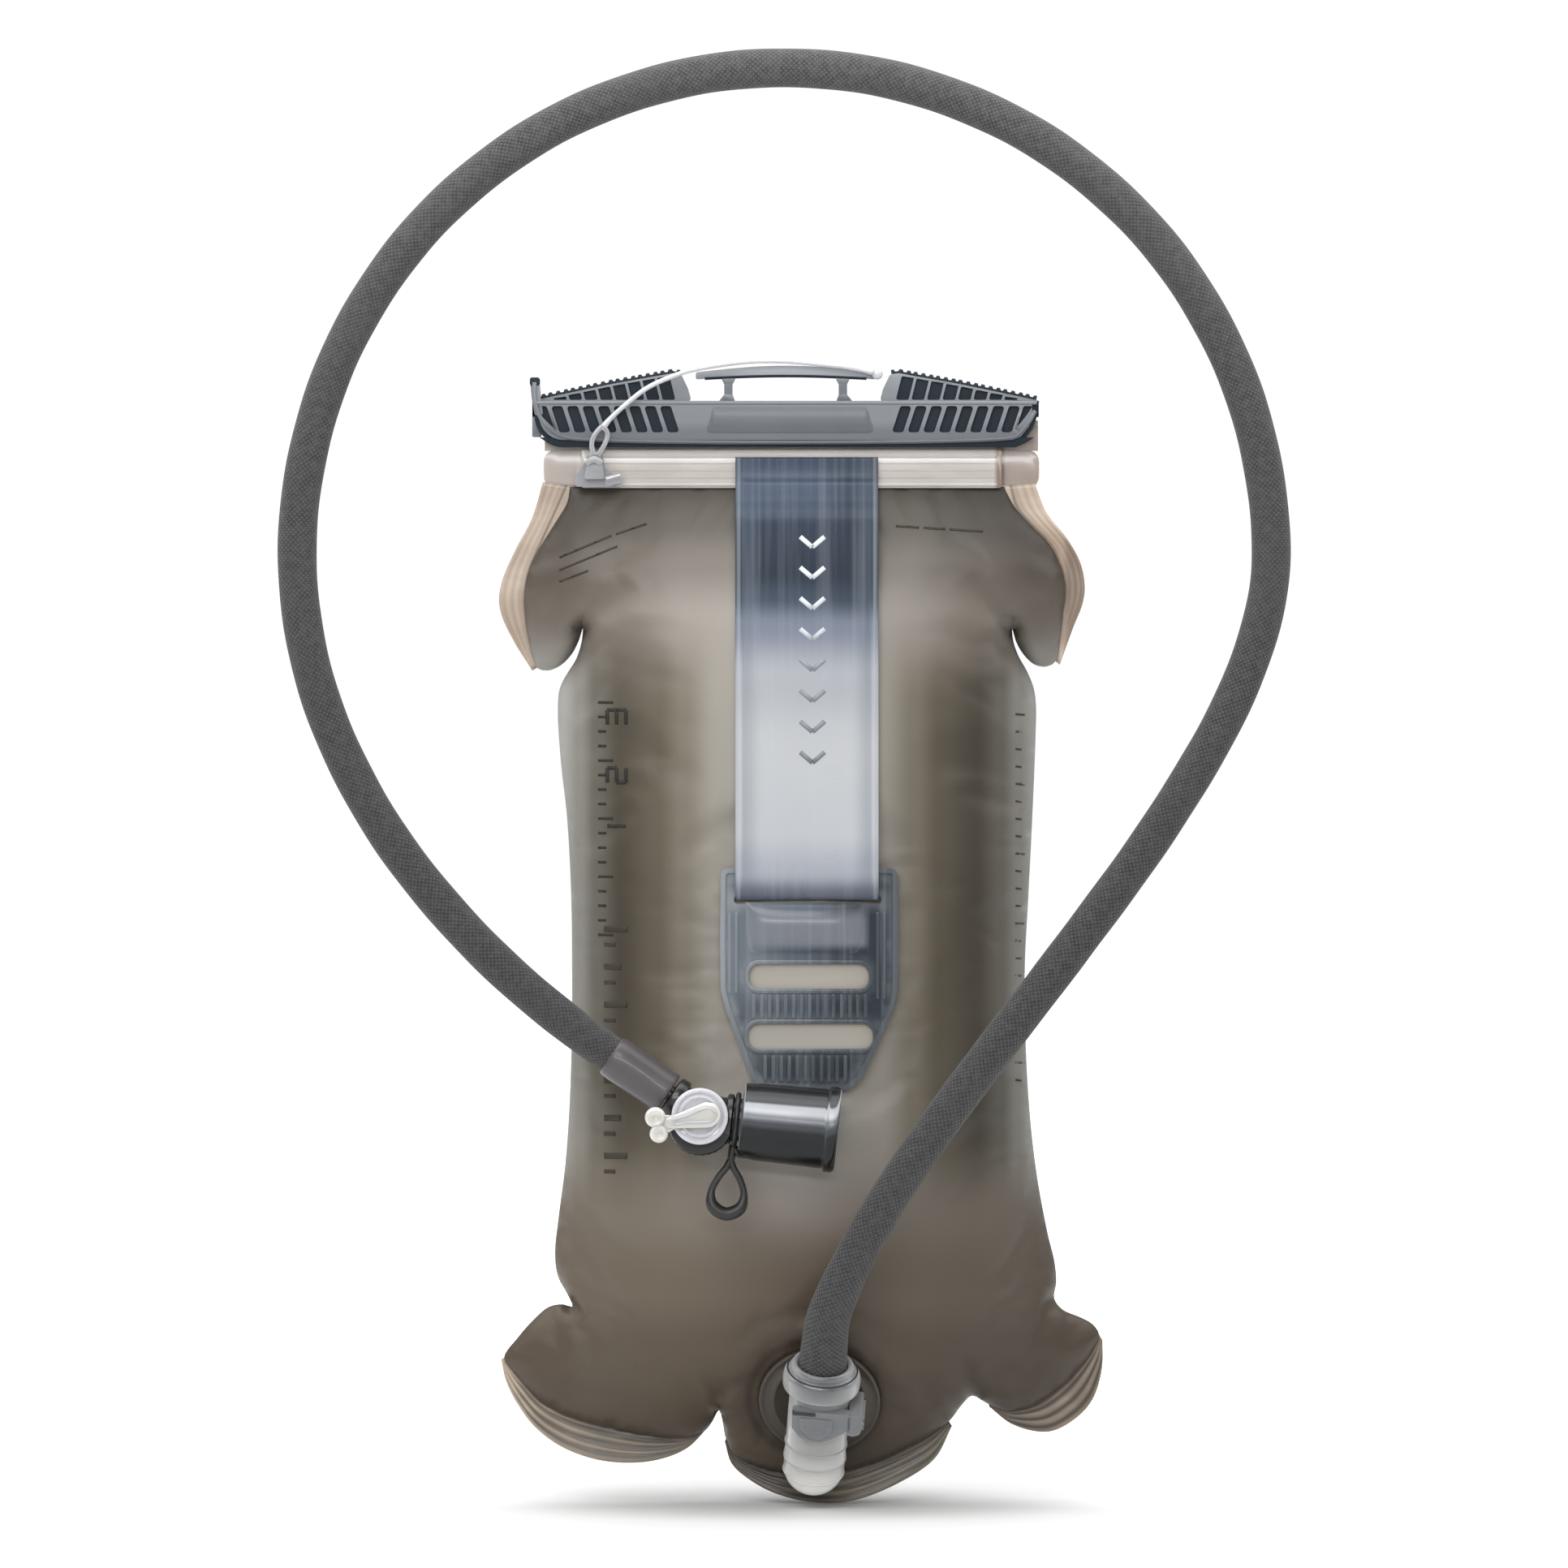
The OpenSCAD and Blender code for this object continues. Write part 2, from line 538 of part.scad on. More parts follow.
module sleeve(path) { color([0.27, 0.27, 0.28]) pipe(path, sleeve_r, tube_r + 0.15, 16); }
module inner_tube(path) { color([0.75, 0.78, 0.80]) pipe(path, tube_r, tube_bore_r, 12); }
module hose_sleeve_lower() { sleeve(lower_path); }
module hose_sleeve_arch() { sleeve(arch_path); }
module hose_sleeve_upper() { sleeve(upper_path); }
module hose_tube_lower() { inner_tube(lower_path); }
module hose_tube_arch() { inner_tube(arch_path); }
module hose_tube_upper() { inner_tube(upper_path); }

// ---------- bite valve ----------
module valve_frame() { translate(valve_at) rotate([0, mouth_dip, 0]) children(); }
module hose_side() { rotate([0, hose_dip - mouth_dip, 0]) mirror([1, 0, 0]) children(); }
module tail_side() { rotate([0, -tail_dip - mouth_dip, 0]) mirror([1, 0, 0]) children(); }

module hose_cuff_upper() {
    color([0.40, 0.38, 0.41]) valve_frame() hose_side() difference() {
        x_rod(sleeve_r + 0.9, hose_stop, hose_stop + cuff_l - 1);
        x_rod(sleeve_r + 0.1, hose_stop - 1, hose_stop + cuff_l);
    }
}
module valve_body() {
    color([0.10, 0.10, 0.11]) valve_frame() difference() {
        union() {
            y_rod(10.9, -7, 9);
            x_rod(7.4, 5, 19);
            x_rod(8.6, 9, 11.2);
            hose_side() x_rod(6, 6, hose_stop - 0.4);
            hose_side() x_rod(tube_bore_r - 0.2, 8, hose_stop + 9);
        }
        y_rod(core_r + 0.06, -8.7, 7);
        x_rod(3, 0, 20);
        hose_side() x_rod(2, 0, 30);
    }
}
module shutoff_core() {
    color([0.80, 0.80, 0.82]) valve_frame() difference() {
        union() {
            y_rod(groove_r, -8.8, 6.8);
            y_rod(core_r, -8.8, -5.4);
            y_rod(core_r, -5.4 + groove_w, 4.4);
            y_rod(core_r, 4.4 + groove_w, 6.8);
        }
        box([-1, 9], [-2.4, 2.4], [-2.4, 2.4]);
        hose_side() box([-1, 9], [-2.2, 2.2], [-2.2, 2.2]);
    }
}
module core_o_rings() {
    color([0.12, 0.12, 0.12]) valve_frame() for (y = [-4.65, 5.15])
        translate([0, y, 0]) rotate([90, 0, 0]) ring_of(6.32, 0.66);
}
module shutoff_lever() {
    color([0.93, 0.93, 0.95]) valve_frame() difference() {
        union() {
            y_rod(dial_r, -12, -8.9);
            // Thumb bar across the dial, with a tail past its rim
            tail_side() hull() {
                translate([-6.5, 0, 0]) y_rod(2.4, -15, -11);
                translate([11, 0, 0]) y_rod(3, -15, -11);
            }
            tail_side() for (z = [-2.8, 2.8]) translate([14.9, 0, z]) y_rod(3.3, -15.4, -10.4);
        }
        difference() {
            y_rod(dial_r - 1.4, -12 - cut, -11);
            y_rod(dial_r - 3.2, -13, -10);
        }
    }
}
module bite_mouthpiece() {
    color([0.30, 0.31, 0.33]) valve_frame() rotate([0, 90, 0]) difference() {
        rotate_extrude() polygon([[7.6, 14], [10, 14], [10.4, 16], [9.4, 20], [9.4, 26], [8.4, 29], [6, 30.3],
                                  [0, 30.3], [0, 28], [5, 28], [6.6, 26.5], [6.6, 20], [7.6, 19.4]]);
        translate([-0.25, -4.5, 26]) cube([0.5, 9, 8]);
    }
}
module dust_cover() {
    end = 14.6 + cover_l;
    color([0.13, 0.15, 0.16]) valve_frame() rotate([0, 90, 0]) rotate_extrude()
        polygon([[cover_r - 1.9, 14.6], [cover_r, 14.6], [cover_r + 0.5, 16.5], [cover_r + 1.0, end - 4],
                 [cover_r + 1.6, end - 3.6], [cover_r + 1.6, end - 1], [cover_r + 0.8, end], [0, end],
                 [0, end - 2], [cover_r - 1.2, end - 2]]);
}
module cover_tether() {
    color([0.08, 0.08, 0.09]) valve_frame() union() {
        difference() {
            x_rod(9.4, 11.5, 13.7);
            x_rod(7.6, 11, 14.2);
        }
        // Pull loop that hangs from the neck ring
        slab(-1.5, 1.5) difference() {
            polygon(arc_points([12, -25.6], 7.2, 11.6, 0, 354, 40));
            polygon(arc_points([12, -23.6], 4.6, 7.2, 0, 354, 40));
        }
        box([11.5, 13.7], [-1.5, 1.5], [-15.5, -8.6]);
        // Link to the rim of the dust cover
        box([13.4, 14.5], [-1.5, 1.5], [-12.4, -10.7]);
    }
}

seal_bar();
mouth_strip_front();
mouth_strip_back();
bag_film_front();
bag_film_back();
shoulder_seam_left();
shoulder_seam_right();
bottom_seam();
handle_strap();
strap_ladder_plate();
tether_clip();
tether_cord();
port_body();
port_flange();
port_poppet();
poppet_spring();
release_button();
button_spring();
plug_body();
plug_o_ring();
hose_tube_lower();
hose_tube_arch();
hose_tube_upper();
hose_sleeve_lower();
hose_sleeve_arch();
hose_sleeve_upper();
hose_cuff_upper();
valve_body();
shutoff_core();
core_o_rings();
shutoff_lever();
bite_mouthpiece();
dust_cover();
cover_tether();
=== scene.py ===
import math

import bmesh
import bpy
import numpy as np
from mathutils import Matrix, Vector
from mathutils.bvhtree import BVHTree
from mathutils.geometry import delaunay_2d_cdt


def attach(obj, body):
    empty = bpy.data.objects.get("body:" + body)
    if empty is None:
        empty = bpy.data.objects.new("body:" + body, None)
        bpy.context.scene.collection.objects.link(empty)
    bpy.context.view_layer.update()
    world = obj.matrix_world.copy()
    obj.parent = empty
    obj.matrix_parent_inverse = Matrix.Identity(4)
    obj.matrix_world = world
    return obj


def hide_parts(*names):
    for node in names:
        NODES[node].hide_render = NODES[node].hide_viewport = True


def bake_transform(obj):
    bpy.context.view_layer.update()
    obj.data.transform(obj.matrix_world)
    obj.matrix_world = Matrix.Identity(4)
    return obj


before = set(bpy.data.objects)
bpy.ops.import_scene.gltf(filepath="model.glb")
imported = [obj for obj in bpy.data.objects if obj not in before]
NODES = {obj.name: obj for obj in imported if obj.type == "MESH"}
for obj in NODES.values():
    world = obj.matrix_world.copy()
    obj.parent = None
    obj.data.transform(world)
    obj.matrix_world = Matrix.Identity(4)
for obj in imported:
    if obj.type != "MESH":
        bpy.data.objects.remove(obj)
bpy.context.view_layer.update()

MM = 0.001

# ---------------------------------------------------------------- shared sizes (mm, the CAD's frame)
BAG_HALF_D = 40.0
BAG_LOW_TOP = -33.2  # where the films leave the mouth strips
PORT_AT = np.array([12.3, -38.6, -341.0])
PORT_LEAN, PORT_ROLL = math.radians(31), math.radians(5)
VALVE_AT = np.array([-29.4, -56.0, -249.8])
MOUTH_DIP, HOSE_DIP, TAIL_DIP = math.radians(5.9), math.radians(34.5), math.radians(12.3)
ARCH_AT = np.array([-0.5, -50.0, -57.5])
ARCH_R, SLEEVE_R, BEND_REACH = 167.0, 6.7, 34
LEAD_L, HOSE_STOP, CUFF_L = 24.0, 13.0, 25.0
STRAP_X, STRAP_HALF = 7.3, 24.6
PLATE_X, PLATE_Z, PLATE_BACK = 8.0, -203.0, 42.5


def rot_x(a):
    c, s = math.cos(a), math.sin(a)
    return np.array([[1, 0, 0], [0, c, -s], [0, s, c]])


def rot_y(a):
    c, s = math.cos(a), math.sin(a)
    return np.array([[c, 0, s], [0, 1, 0], [-s, 0, c]])


def shifted(place, x, y, z):
    """A place, which is a turn and an origin, moved along its own axes."""
    turn, origin = place
    return turn, origin + turn @ np.array([x, y, z])


PORT_R = rot_y(PORT_ROLL) @ rot_x(PORT_LEAN)
VALVE_R = rot_y(MOUTH_DIP)
HOSE_R = rot_y(HOSE_DIP)  # local +X runs along the arriving hose
HALF_TURN = np.diag([-1.0, 1, -1])
WHOLE = (np.eye(3), np.zeros(3))
PORT, VALVE, HOSE_END = (PORT_R, PORT_AT), (VALVE_R, VALVE_AT), (HOSE_R @ HALF_TURN, VALVE_AT)
TAIL = (rot_y(-TAIL_DIP) @ HALF_TURN, VALVE_AT)
PORT_UP, MOUTH_OUT = tuple(PORT_R @ np.array([0, 0, 1.0])), tuple(VALVE_R @ np.array([1.0, 0, 0]))


def smooth(t):
    t = np.clip(t, 0.0, 1.0)
    return t * t * (3 - 2 * t)


def ramp(a, b, x):
    return smooth((np.asarray(x, float) - a) / (b - a))


# ---------------------------------------------------------------- meshes
def make(name, verts, faces, mat=None, closed=True):
    """A mesh from points in mm. The faces of a closed one are turned to look outwards."""
    mesh = bpy.data.meshes.new(name)
    mesh.from_pydata([tuple(float(c) * MM for c in v) for v in verts], [],
        [tuple(int(i) for i in f) for f in faces])
    mesh.validate()
    if closed:
        bm = bmesh.new()
        bm.from_mesh(mesh)
        bmesh.ops.recalc_face_normals(bm, faces=bm.faces)
        bm.to_mesh(mesh)
        bm.free()
    mesh.update()
    mesh.polygons.foreach_set("use_smooth", [True] * len(mesh.polygons))
    obj = bpy.data.objects.new(name, mesh)
    bpy.context.scene.collection.objects.link(obj)
    if mat:
        mesh.materials.append(mat)
    return obj


def bevel(obj, width, segments=2, angle=35):
    mod = obj.modifiers.new("edge", "BEVEL")
    mod.width = width * MM
    mod.segments = segments
    mod.limit_method = "ANGLE"
    mod.angle_limit = math.radians(angle)
    mod.harden_normals = False
    return obj


def apply_modifiers(obj):
    bpy.context.view_layer.update()
    deps = bpy.context.evaluated_depsgraph_get()
    mesh = bpy.data.meshes.new_from_object(obj.evaluated_get(deps))
    old = obj.data
    obj.modifiers.clear()
    obj.data = mesh
    bpy.data.meshes.remove(old)
    # a bevel on a short edge leaves folded faces with no area
    bm = bmesh.new()
    bm.from_mesh(mesh)
    bmesh.ops.remove_doubles(bm, verts=bm.verts, dist=0.003 * MM)
    bmesh.ops.dissolve_degenerate(bm, edges=bm.edges, dist=0.003 * MM)
    bm.to_mesh(mesh)
    bm.free()
    return obj


def to_world(points, place):
    turn, origin = place
    return np.asarray(points, float) @ turn.T + origin


def lathe(name, profile, place, mat, seg=64, axis="z"):
    """Turns a profile of (radius, height) about an axis of the place."""
    profile = np.asarray(profile, float)
    a = np.linspace(0, 2 * np.pi, seg, endpoint=False)
    verts, faces, rows = [], [], []
    for r, h in profile:
        if r < 1e-6:
            rows.append([len(verts)])
            ring = np.array([[0, 0, h]])
        else:
            rows.append(list(range(len(verts), len(verts) + seg)))
            ring = np.stack([r * np.cos(a), r * np.sin(a), np.full(seg, h)], 1)
        verts.extend(ring.tolist())
    for p, q in zip(rows, rows[1:]):
        for j in range(seg):
            k = (j + 1) % seg
            if len(p) == 1 and len(q) == 1:
                continue
            if len(p) == 1:
                faces.append((p[0], q[j], q[k]))
            elif len(q) == 1:
                faces.append((p[j], q[0], p[k]))
            else:
                faces.append((p[j], q[j], q[k], p[k]))
    verts = np.array(verts)
    if axis == "x":
        verts = verts[:, [2, 1, 0]] * [1, -1, 1]
    if axis == "-y":
        verts = np.stack([verts[:, 0], -verts[:, 2], verts[:, 1]], 1)
    return make(name, to_world(verts, place), faces, mat)


def plate_mesh(name, filled, y0, y1, mat, place=WHOLE):
    """A filled flat shape in X and Z, as a plate between y0 and y1."""
    tris, pts = filled
    verts = [(x, y, z) for y in sorted((y0, y1)) for x, z in pts]
    return make(name, to_world(verts, place), two_skins(tris, len(pts)), mat)


def prism(name, outline, y0, y1, mat, edge=0.5, holes=(), place=WHOLE):
    """Flat shape in X and Z between y0 and y1, with rounded edges."""
    obj = plate_mesh(name, fill(outline, holes), y0, y1, mat, place)
    if edge:
        bevel(obj, edge, 3)
    return obj


def boundary(tris):
    """The edges that only one triangle has."""
    seen = {}
    for t in tris:
        for i in range(3):
            e = (t[i], t[(i + 1) % 3])
            seen[e] = seen.get(e, 0) + 1
    return [e for e in seen if (e[1], e[0]) not in seen]


def two_skins(tris, n):
    """Faces of a plate: triangles over n points, the same on the next n points, and a rim."""
    rim = [(b, a, a + n, b + n) for a, b in boundary(tris)]
    return [tuple(t) for t in tris] + [(c + n, b + n, a + n) for a, b, c in tris] + rim


def fill(outline, holes=(), inner=None):
    """Triangles inside an outline, less its holes, that look to the front."""
    points, edges = [], []
    for loop in [outline, *holes]:
        first = len(points)
        points += [tuple(p) for p in loop]
        edges += [(first + i, first + (i + 1) % len(loop)) for i in range(len(loop))]
    if inner is not None:
        points += [tuple(p) for p in inner]
    out = delaunay_2d_cdt([Vector(p) for p in points], edges, [], 0, 1e-5)
    pts, tris = np.array([tuple(v) for v in out[0]]), np.array([tuple(f) for f in out[2]])
    centre = pts[tris].mean(1)
    keep = within(centre, outline)
    for hole in holes:
        keep &= ~within(centre, hole)
    tris = tris[keep]
    a, b, c = pts[tris[:, 0]], pts[tris[:, 1]], pts[tris[:, 2]]
    turn = (b[:, 0] - a[:, 0]) * (c[:, 1] - a[:, 1]) - (b[:, 1] - a[:, 1]) * (c[:, 0] - a[:, 0])
    tris[turn < 0] = tris[turn < 0][:, ::-1]
    used, tris = np.unique(tris, return_inverse=True)
    return [tuple(t) for t in tris.reshape(-1, 3)], pts[used]


def within(points, loop):
    """True where a point lies inside a closed loop."""
    points, loop = np.asarray(points, float), np.asarray(loop, float)
    x, y = points[:, 0], points[:, 1]
    inside = np.zeros(len(points), bool)
    for (x0, y0), (x1, y1) in zip(loop, np.roll(loop, -1, 0)):
        if y0 == y1:
            continue
        cross = ((y0 > y) != (y1 > y)) & (x < (x1 - x0) * (y - y0) / (y1 - y0) + x0)
        inside ^= cross
    return inside


def spline(points, step, closed=False):
    """Even points along a centripetal curve through the given ones."""
    p = np.asarray(points, float)
    n = len(p)
    out = []
    for i in range(n if closed else n - 1):
        a, b = p[i], p[(i + 1) % n]
        before = p[(i - 1) % n] if closed or i else 2 * a - b
        after = p[(i + 2) % n] if closed or i + 2 < n else 2 * b - a
        knots = [0.0]
        for u, v in ((before, a), (a, b), (b, after)):
            knots.append(knots[-1] + max(np.linalg.norm(v - u), 1e-6) ** 0.5)
        k0, k1, k2, k3 = knots
        m = max(1, int(round(np.linalg.norm(b - a) / step)))
        for t in np.linspace(k1, k2, m, endpoint=False):
            a1 = (k1 - t) / (k1 - k0) * before + (t - k0) / (k1 - k0) * a
            a2 = (k2 - t) / (k2 - k1) * a + (t - k1) / (k2 - k1) * b
            a3 = (k3 - t) / (k3 - k2) * b + (t - k2) / (k3 - k2) * after
            b1 = (k2 - t) / (k2 - k0) * a1 + (t - k0) / (k2 - k0) * a2
            b2 = (k3 - t) / (k3 - k1) * a2 + (t - k1) / (k3 - k1) * a3
            out.append((k2 - t) / (k2 - k1) * b1 + (t - k1) / (k2 - k1) * b2)
    if not closed:
        out.append(p[-1])
    return np.array(out)


def unit(vectors):
    return vectors / np.linalg.norm(vectors, axis=1)[:, None]


def clearance(points, loop):
    """Each point's distance from the nearest point of the loop."""
    return np.array([np.min(np.hypot(*(loop - p).T)) for p in points])


def run_lengths(path):
    """How far along the path each of its points lies."""
    return np.r_[0, np.cumsum(np.linalg.norm(np.diff(path, axis=0), axis=1))]


def resampled(path, run):
    """The path's points at the given run lengths."""
    d = run_lengths(path)
    return np.stack([np.interp(run, d, column) for column in path.T], 1)


def soften(values, width):
    """A row of numbers, smoothed over so many neighbours."""
    kernel = np.hanning(width)
    kernel /= kernel.sum()
    return np.convolve(np.pad(values, width // 2, mode="edge"), kernel, "valid")


def ring_faces(rows, sides):
    """Faces between rings of points, with a cap at either end."""
    faces = []
    for i in range(rows - 1):
        for j in range(sides):
            k = (j + 1) % sides
            faces.append((i * sides + j, i * sides + k, (i + 1) * sides + k, (i + 1) * sides + j))
    return faces + [tuple(reversed(range(sides))), tuple(range((rows - 1) * sides, rows * sides))]


def read(vertices, what="co"):
    """A mesh's points or normals, as one long row."""
    out = np.empty(len(vertices) * 3)
    vertices.foreach_get(what, out)
    return out


def tube(name, path, radius, mat, sides=12, up=(0, 1, 0)):
    """A round bar along a path; radius may be a number or one per point."""
    path = np.asarray(path, float)
    radius = np.broadcast_to(np.asarray(radius, float), (len(path),))
    tangent = unit(np.gradient(path, axis=0))
    u = unit(np.asarray(up, float) - (tangent @ np.asarray(up, float))[:, None] * tangent)
    v = np.cross(tangent, u)
    a = np.linspace(0, 2 * np.pi, sides, endpoint=False)
    spoke = np.cos(a)[None, :, None] * u[:, None, :] + np.sin(a)[None, :, None] * v[:, None, :]
    verts = (path[:, None, :] + radius[:, None, None] * spoke).reshape(-1, 3)
    return make(name, verts, ring_faces(len(path), sides), mat)


# ---------------------------------------------------------------- materials
def linear(c):
    return [((x + 0.055) / 1.055) ** 2.4 if x > 0.04045 else x / 12.92 for x in c]


def rgb(r, g, b):
    return (*linear((r / 255, g / 255, b / 255)), 1.0)


class Mat:
    """A small builder for node materials."""

    def __init__(self, name, **settings):
        self.mat = bpy.data.materials.new(name)
        self.mat.use_nodes = True
        self.tree = self.mat.node_tree
        self.bsdf = self.tree.nodes["Principled BSDF"]
        self.bsdf.inputs["Subsurface Radius"].default_value = (1.0, 0.92, 0.84)
        for key, value in settings.items():
            self.bsdf.inputs[key.replace("_", " ")].default_value = value

    def add(self, kind, **settings):
        node = self.tree.nodes.new(kind)
        for key, value in settings.items():
            if hasattr(node, key):
                setattr(node, key, value)
            else:
                node.inputs[key.replace("_", " ")].default_value = value
        return node

    def join(self, out, into):
        self.tree.links.new(out, into)

    def math(self, op, a, b=None, clamp=False):
        node = self.add("ShaderNodeMath", operation=op, use_clamp=clamp)
        for i, x in enumerate((a, b)):
            if x is None:
                continue
            if isinstance(x, (int, float)):
                node.inputs[i].default_value = x
            else:
                self.join(x, node.inputs[i])
        return node.outputs[0]

    def coords(self):
        """(x, y, z) of the rest position, in mm."""
        tex = self.add("ShaderNodeTexCoord")
        sep = self.add("ShaderNodeSeparateXYZ")
        self.join(tex.outputs["Object"], sep.inputs[0])
        return [self.math("MULTIPLY", sep.outputs[i], 1000.0) for i in range(3)]

    def ramp(self, value, stops, smooth_steps=True):
        node = self.add("ShaderNodeValToRGB")
        node.color_ramp.interpolation = "EASE" if smooth_steps else "LINEAR"
        elements = node.color_ramp.elements
        while len(elements) < len(stops):
            elements.new(0.5)
        for e, (at, color) in zip(elements, stops):
            e.position = at
            e.color = (*color[:3], 1.0) if isinstance(color, tuple) else (color, color, color, 1.0)
        self.join(value, node.inputs[0])
        return node.outputs[0]

    def mix(self, share, a, b, mode="MIX"):
        node = self.add("ShaderNodeMix", data_type="RGBA", blend_type=mode)
        for socket, x in ((node.inputs[0], share), (node.inputs[6], a), (node.inputs[7], b)):
            if isinstance(x, (int, float, tuple)):
                socket.default_value = x
            else:
                self.join(x, socket)
        return node.outputs[2]

    def noise(self, scale, detail=3.0, rough=0.5, stretch=None, attr="Object"):
        tex = self.add("ShaderNodeTexCoord")
        source = tex.outputs[attr]
        if stretch:
            mapping = self.add("ShaderNodeMapping")
            mapping.inputs["Scale"].default_value = stretch
            self.join(source, mapping.inputs[0])
            source = mapping.outputs[0]
        node = self.add("ShaderNodeTexNoise", Scale=scale, Detail=detail, Roughness=rough)
        self.join(source, node.inputs["Vector"])
        return node.outputs[0]

    def span(self, value, a, b):
        """How far the value is from a to b, from 0 to 1."""
        return self.math("DIVIDE", self.math("SUBTRACT", value, a), b - a, clamp=True)

    def away(self, value, middle, reach):
        """How far the value is from the middle, from 0 to 1 at its reach."""
        return self.math("DIVIDE", self.math("ABSOLUTE", self.math("SUBTRACT", value, middle)), reach,
            clamp=True)

    def distance(self, a, b):
        """Length of the flat vector (a, b)."""
        flat = self.add("ShaderNodeCombineXYZ")
        size = self.add("ShaderNodeVectorMath", operation="LENGTH")
        self.join(a, flat.inputs[0])
        self.join(b, flat.inputs[1])
        self.join(flat.outputs[0], size.inputs[0])
        return size.outputs["Value"]

    def edge(self, top):
        """1 on raised edges, 0 on flat faces."""
        geo = self.add("ShaderNodeNewGeometry")
        return self.ramp(geo.outputs["Pointiness"], [(0.49, 0.0), (top, 1.0)])

    def facing(self):
        return self.add("ShaderNodeLayerWeight", Blend=0.35).outputs["Facing"]

    def flow(self):
        """Faint flow lines of moulded plastic."""
        return self.noise(35.0, 4.0, 0.6, (1.0, 1.0, 3.5))

    def color(self, out):
        self.join(out, self.bsdf.inputs["Base Color"])
        return self

    def rough(self, low, high, value):
        node = self.add("ShaderNodeMapRange")
        self.join(value, node.inputs[0])
        node.inputs[3].default_value, node.inputs[4].default_value = low, high
        self.join(node.outputs[0], self.bsdf.inputs["Roughness"])
        return self

    def bump(self, height, distance, strength=1.0):
        node = self.add("ShaderNodeBump", Strength=strength, Distance=distance * MM)
        self.join(height, node.inputs["Height"])
        last = self.bsdf.inputs["Normal"]
        if last.is_linked:
            self.join(last.links[0].from_socket, node.inputs["Normal"])
        self.join(node.outputs[0], last)
        return self


def film_material(name, shade=1.0):
    """Smoke film over water."""
    m = Mat(name, IOR=1.46, Specular_IOR_Level=0.36, Coat_Weight=0.08, Coat_Roughness=0.35)
    x, _, z = m.coords()
    side = m.away(x, 4.5, 84.0)
    tone = lambda r, g, b: rgb(r * shade, g * shade, b * shade)
    # pale in the middle, dark where the water bends the light, pale again at the very edge
    band = m.ramp(side, [(0.0, tone(172, 167, 162)), (0.33, tone(138, 133, 124)),
            (0.47, tone(108, 101, 89)), (0.58, tone(82, 75, 62)), (0.73, tone(60, 54, 44)),
            (0.83, tone(90, 87, 79)), (0.90, tone(126, 124, 118)), (0.98, tone(164, 163, 159))])
    plain = m.ramp(side, [(0.0, tone(158, 153, 147)), (0.45, tone(146, 140, 133)),
            (0.75, tone(122, 114, 105)), (1.0, tone(104, 95, 87))])
    low = m.ramp(side, [(0.0, tone(88, 77, 66)), (0.5, tone(98, 88, 76)), (0.85, tone(96, 87, 77)),
            (1.0, tone(90, 80, 70))])
    down = m.span(z, 0.0, -400.0)
    banded = m.ramp(down, [(0.19, 0.0), (0.27, 1.0), (0.64, 1.0), (0.74, 0.0)])
    bottom = m.ramp(down, [(0.62, 0.0), (0.77, 1.0)])
    base = m.mix(bottom, m.mix(banded, plain, band), low)
    blot = m.noise(9.0, 3.0, 0.5, (1.0, 1.0, 0.6))
    base = m.mix(m.ramp(blot, [(0.35, 0.0), (0.8, 0.16)]), base, tone(140, 130, 114))
    # painted shade: the film darkens towards the mouth and towards its foot
    shade_by_height = m.ramp(down, [(0.085, (0.22, 0.21, 0.19)), (0.115, (0.29, 0.28, 0.26)),
            (0.15, (0.50, 0.49, 0.47)), (0.20, (0.86, 0.86, 0.85)), (0.27, 1.0),
            (0.70, (0.98, 0.98, 0.97)), (0.775, (0.90, 0.88, 0.85)), (0.825, (0.66, 0.62, 0.57)),
            (0.865, (0.60, 0.56, 0.51)), (0.93, (0.58, 0.54, 0.49))])
    base = m.mix(1.0, base, shade_by_height, "MULTIPLY")
    # the light comes from the left
    across = m.span(x, -100.0, 110.0)
    base = m.mix(1.0, base, m.ramp(across, [(0.0, 1.0), (0.45, 1.0), (0.8, 0.78), (1.0, 0.84)]), "MULTIPLY")
    # darker where the port is welded on
    from_port = m.distance(m.math("SUBTRACT", x, 9.8), m.math("MULTIPLY", m.math("ADD", z, 347.5), 1.12))
    weld = m.math("DIVIDE", from_port, 40.0, clamp=True)
    base = m.mix(1.0, base, m.ramp(weld, [(0.0, (0.66, 0.64, 0.62)), (0.40, (0.66, 0.64, 0.62)),
                (0.46, (0.48, 0.44, 0.40)), (0.51, (0.74, 0.72, 0.70)), (0.56, (0.50, 0.46, 0.42)),
                (0.64, (0.88, 0.87, 0.86)), (0.76, 1.0)]), "MULTIPLY")
    m.color(base)
    m.rough(0.38, 0.5, m.noise(40.0, 4.0))
    m.bump(m.noise(60.0, 4.0, 0.55), 0.25, 0.5)
    m.bump(m.noise(900.0, 2.0), 0.04, 0.5)
    m.bsdf.inputs["Subsurface Weight"].default_value = 0.06
    m.bsdf.inputs["Subsurface Scale"].default_value = 0.004
    return m.mat


def plain_material(name, color, rough=0.4, spread=0.12, grain=200.0, bump=0.05, vary=0.12, **settings):
    """One colour with a slow tint variation, uneven gloss and a fine moulded grain."""
    m = Mat(name, **settings)
    r, g, b, _ = color
    cloud = m.noise(30.0, 3.0)
    dark = (r * (1 - vary), g * (1 - vary), b * (1 - vary), 1.0)
    light = (min(1, r * (1 + vary)), min(1, g * (1 + vary)), min(1, b * (1 + vary)), 1.0)
    m.color(m.mix(cloud, dark, light))
    m.rough(max(0.02, rough - spread / 2), rough + spread / 2, m.noise(grain / 3, 3.0))
    m.bump(m.noise(grain * 3, 3.0), bump, 0.6)
    return m.mat


